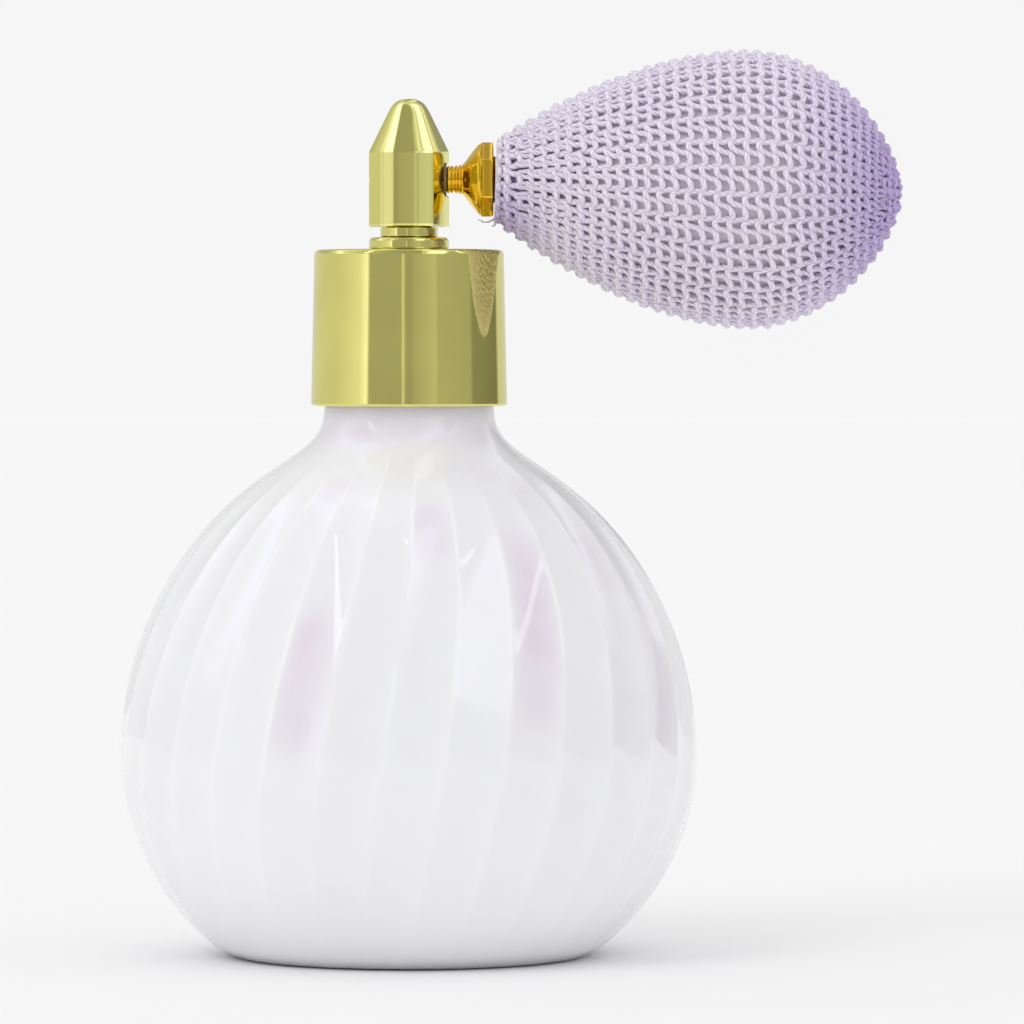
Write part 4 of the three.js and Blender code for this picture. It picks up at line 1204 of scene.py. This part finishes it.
def surround_material():
    """What polished metal sees: a level for each direction round the object, plain above, and
    tall narrow lights."""
    f = Finish("Studio_Surround")
    parts = f.node("SeparateXYZ", Vector=f.place())
    x, y = parts.outputs["X"], parts.outputs["Y"]
    around = f.math("ARCTAN2", x, f.math("MULTIPLY", y, -1.0))
    height = f.math("SUBTRACT", parts.outputs["Z"], JET_Z * MM)
    flat = f.math("SQRT", f.math("ADD", f.math("POWER", x, 2.0), f.math("POWER", y, 2.0)))
    climb = f.math("MULTIPLY", f.math("ARCTAN2", height, flat), 180 / math.pi)
    narrowing = f.range(climb, 10, 50, 1.0, 0.76)
    bands = []
    high_angle = f.math("MULTIPLY", around, narrowing)
    for levels, angle in ((LIGHT_LEVELS, around), (HIGH_LEVELS, high_angle)):
        share = f.math("MULTIPLY_ADD", angle, 1 / TURN, 0.5)
        stops = [((a + 180) / 360, level / 2) for a, level in levels]
        bands.append(f.math("MULTIPLY", f.ramp(share, *stops), 2.0))
    level = f.mix(f.range(climb, 8, 13, 0, 1), bands[0], bands[1])
    whiter = f.range(f.node("RGBToBW", Color=level).outputs[0], 0.7, 1.5, 0, 1)
    level = f.mix(1.0, level, f.mix(whiter, (1, 1, 1, 1), (0.97, 0.98, 1.3, 1)), "MULTIPLY")
    level = f.mix(f.range(climb, 72, 84, 0, 1), level, (0.8, 0.8, 0.8, 1))
    degrees = f.math("MULTIPLY", around, 180 / math.pi)
    for left, right, low, high, power in STRIP_LIGHTS:
        across = f.math("MULTIPLY", f.range(degrees, left - 1, left, 0, 1),
                        f.range(degrees, right, right + 1, 1, 0))
        along = f.math("MULTIPLY", f.range(climb, low - 2, low, 0, 1),
                       f.range(climb, high, high + 2, 1, 0))
        level = f.mix(f.math("MULTIPLY", across, along), level, (power, power, power, 1))
    glow = f.node("Emission", Color=level, Strength=1.0)
    output = f.nodes["Material Output"]
    f.links.new(glow.outputs[0], output.inputs["Surface"])
    return f.material


SURROUND_R = 900  # the dome that polished metal sees
ROOM_R = 6e3  # reach of the floor and of the backdrop


class ATOMISER_OT_stage(bpy.types.Operator):
    """Sets up the camera, a plain pale floor, a backdrop and soft studio light"""
    bl_idname = "atomiser.stage"
    bl_label = "Stage"

    def execute(self, context):
        stage = context.scene.atomiser_stage
        scene = context.scene
        scene.view_settings.view_transform = "Standard"
        camera_data = bpy.data.cameras.new("Camera")
        camera_data.lens, camera_data.sensor_width = 246.0, 36.0
        camera = bpy.data.objects.new("Camera", camera_data)
        camera.location = (0.0147, -1.0, 0.0896)
        camera.rotation_euler = (math.radians(90 - 1.5), 0, 0)
        scene.collection.objects.link(camera)
        scene.camera = camera

        floor = surface("Floor", np.array([[(x, y, 0.0) for y in (-ROOM_R, ROOM_R)]
                                           for x in (-ROOM_R, ROOM_R)]), wrap_columns=False)
        f = Finish("Floor_Paper", Roughness=0.9, Specular_IOR_Level=0.0)
        grain = f.noise(60, 2.0)
        tint = f.mix(grain, shade(stage.floor_colour, 0.995), shade(stage.floor_colour, 1.005))
        floor.data.materials.append(f.set(Base_Color=tint))

        rows = np.radians(np.linspace(-6.2, 88, 40))[:, None]
        turn = (np.arange(96) * TURN / 96)[None]
        height = JET_Z + SURROUND_R * np.sin(rows)
        dome = surface("Studio_Surround", about_z(SURROUND_R * np.cos(rows), height, turn))
        dome.data.materials.append(surround_material())
        dome.visible_camera = dome.visible_diffuse = dome.visible_shadow = False
        dome.visible_transmission = dome.visible_volume_scatter = False

        lift = np.radians(np.linspace(-60, 88, 24))[:, None]
        back = surface("Backdrop", about_z(ROOM_R * np.cos(lift), ROOM_R * np.sin(lift), turn))
        f = Finish("Backdrop_Paper")
        glow = f.node("Emission", Color=(1, 1, 1, 1), Strength=stage.backdrop)
        f.links.new(glow.outputs[0], f.nodes["Material Output"].inputs["Surface"])
        back.data.materials.append(f.material)
        back.visible_diffuse = back.visible_glossy = back.visible_shadow = False
        back.visible_transmission = back.visible_volume_scatter = False

        world = bpy.data.worlds.new("Studio")
        world.use_nodes = True
        background = world.node_tree.nodes["Background"]
        background.inputs["Color"].default_value = (1.0, 1.0, 1.0, 1.0)
        background.inputs["Strength"].default_value = stage.surround
        scene.world = world
        for name, turn_z, tilt, energy, angle in (
            ("Key", -40, 48, 0.36, 30), ("Top", 0, 4, 0.2, 70),
        ):
            light = bpy.data.lights.new(name, "SUN")
            light.energy, light.angle = energy, math.radians(angle)
            lamp = bpy.data.objects.new(name, light)
            lamp.rotation_euler = (math.radians(tilt), 0, math.radians(turn_z))
            scene.collection.objects.link(lamp)
        return {"FINISHED"}


class ATOMISER_PT_build(bpy.types.Panel):
    """Lists the steps that build the atomiser"""
    bl_label = "Atomiser"
    bl_idname = "ATOMISER_PT_build"
    bl_space_type = "VIEW_3D"
    bl_region_type = "UI"
    bl_category = "Atomiser"

    def draw(self, context):
        for group, names in PANEL_ROWS:
            box = self.layout.box()
            settings = getattr(context.scene, group)
            for name in type(settings).__annotations__:
                box.prop(settings, name)
            for operator in names:
                box.operator(operator)


PANEL_ROWS = (
    ("atomiser_glass", ("atomiser.glass",)),
    ("atomiser_metal", ("atomiser.collar", "atomiser.connector")),
    ("atomiser_head", ("atomiser.head",)),
    ("atomiser_bulb", ("atomiser.bulb", "atomiser.cover")),
    ("atomiser_stage", ("atomiser.stage",)),
)
GROUPS = {
    "atomiser_glass": GlassSettings,
    "atomiser_metal": MetalSettings,
    "atomiser_head": HeadSettings,
    "atomiser_bulb": BulbSettings,
    "atomiser_stage": StageSettings,
}
CLASSES = (
    *GROUPS.values(), ATOMISER_OT_glass, ATOMISER_OT_collar, ATOMISER_OT_head,
    ATOMISER_OT_connector, ATOMISER_OT_bulb, ATOMISER_OT_cover, ATOMISER_OT_stage,
    ATOMISER_PT_build,
)


def register():
    for made in CLASSES:
        bpy.utils.register_class(made)
    for name, group in GROUPS.items():
        setattr(bpy.types.Scene, name, bpy.props.PointerProperty(type=group))


def unregister():
    for name in GROUPS:
        delattr(bpy.types.Scene, name)
    for made in reversed(CLASSES):
        bpy.utils.unregister_class(made)


def main():
    register()
    bpy.ops.atomiser.glass()
    bpy.ops.atomiser.collar()
    bpy.ops.atomiser.head()
    bpy.ops.atomiser.connector()
    bpy.ops.atomiser.bulb()
    bpy.ops.atomiser.cover()
    bpy.ops.atomiser.stage()


if __name__ == "__main__":
    main()
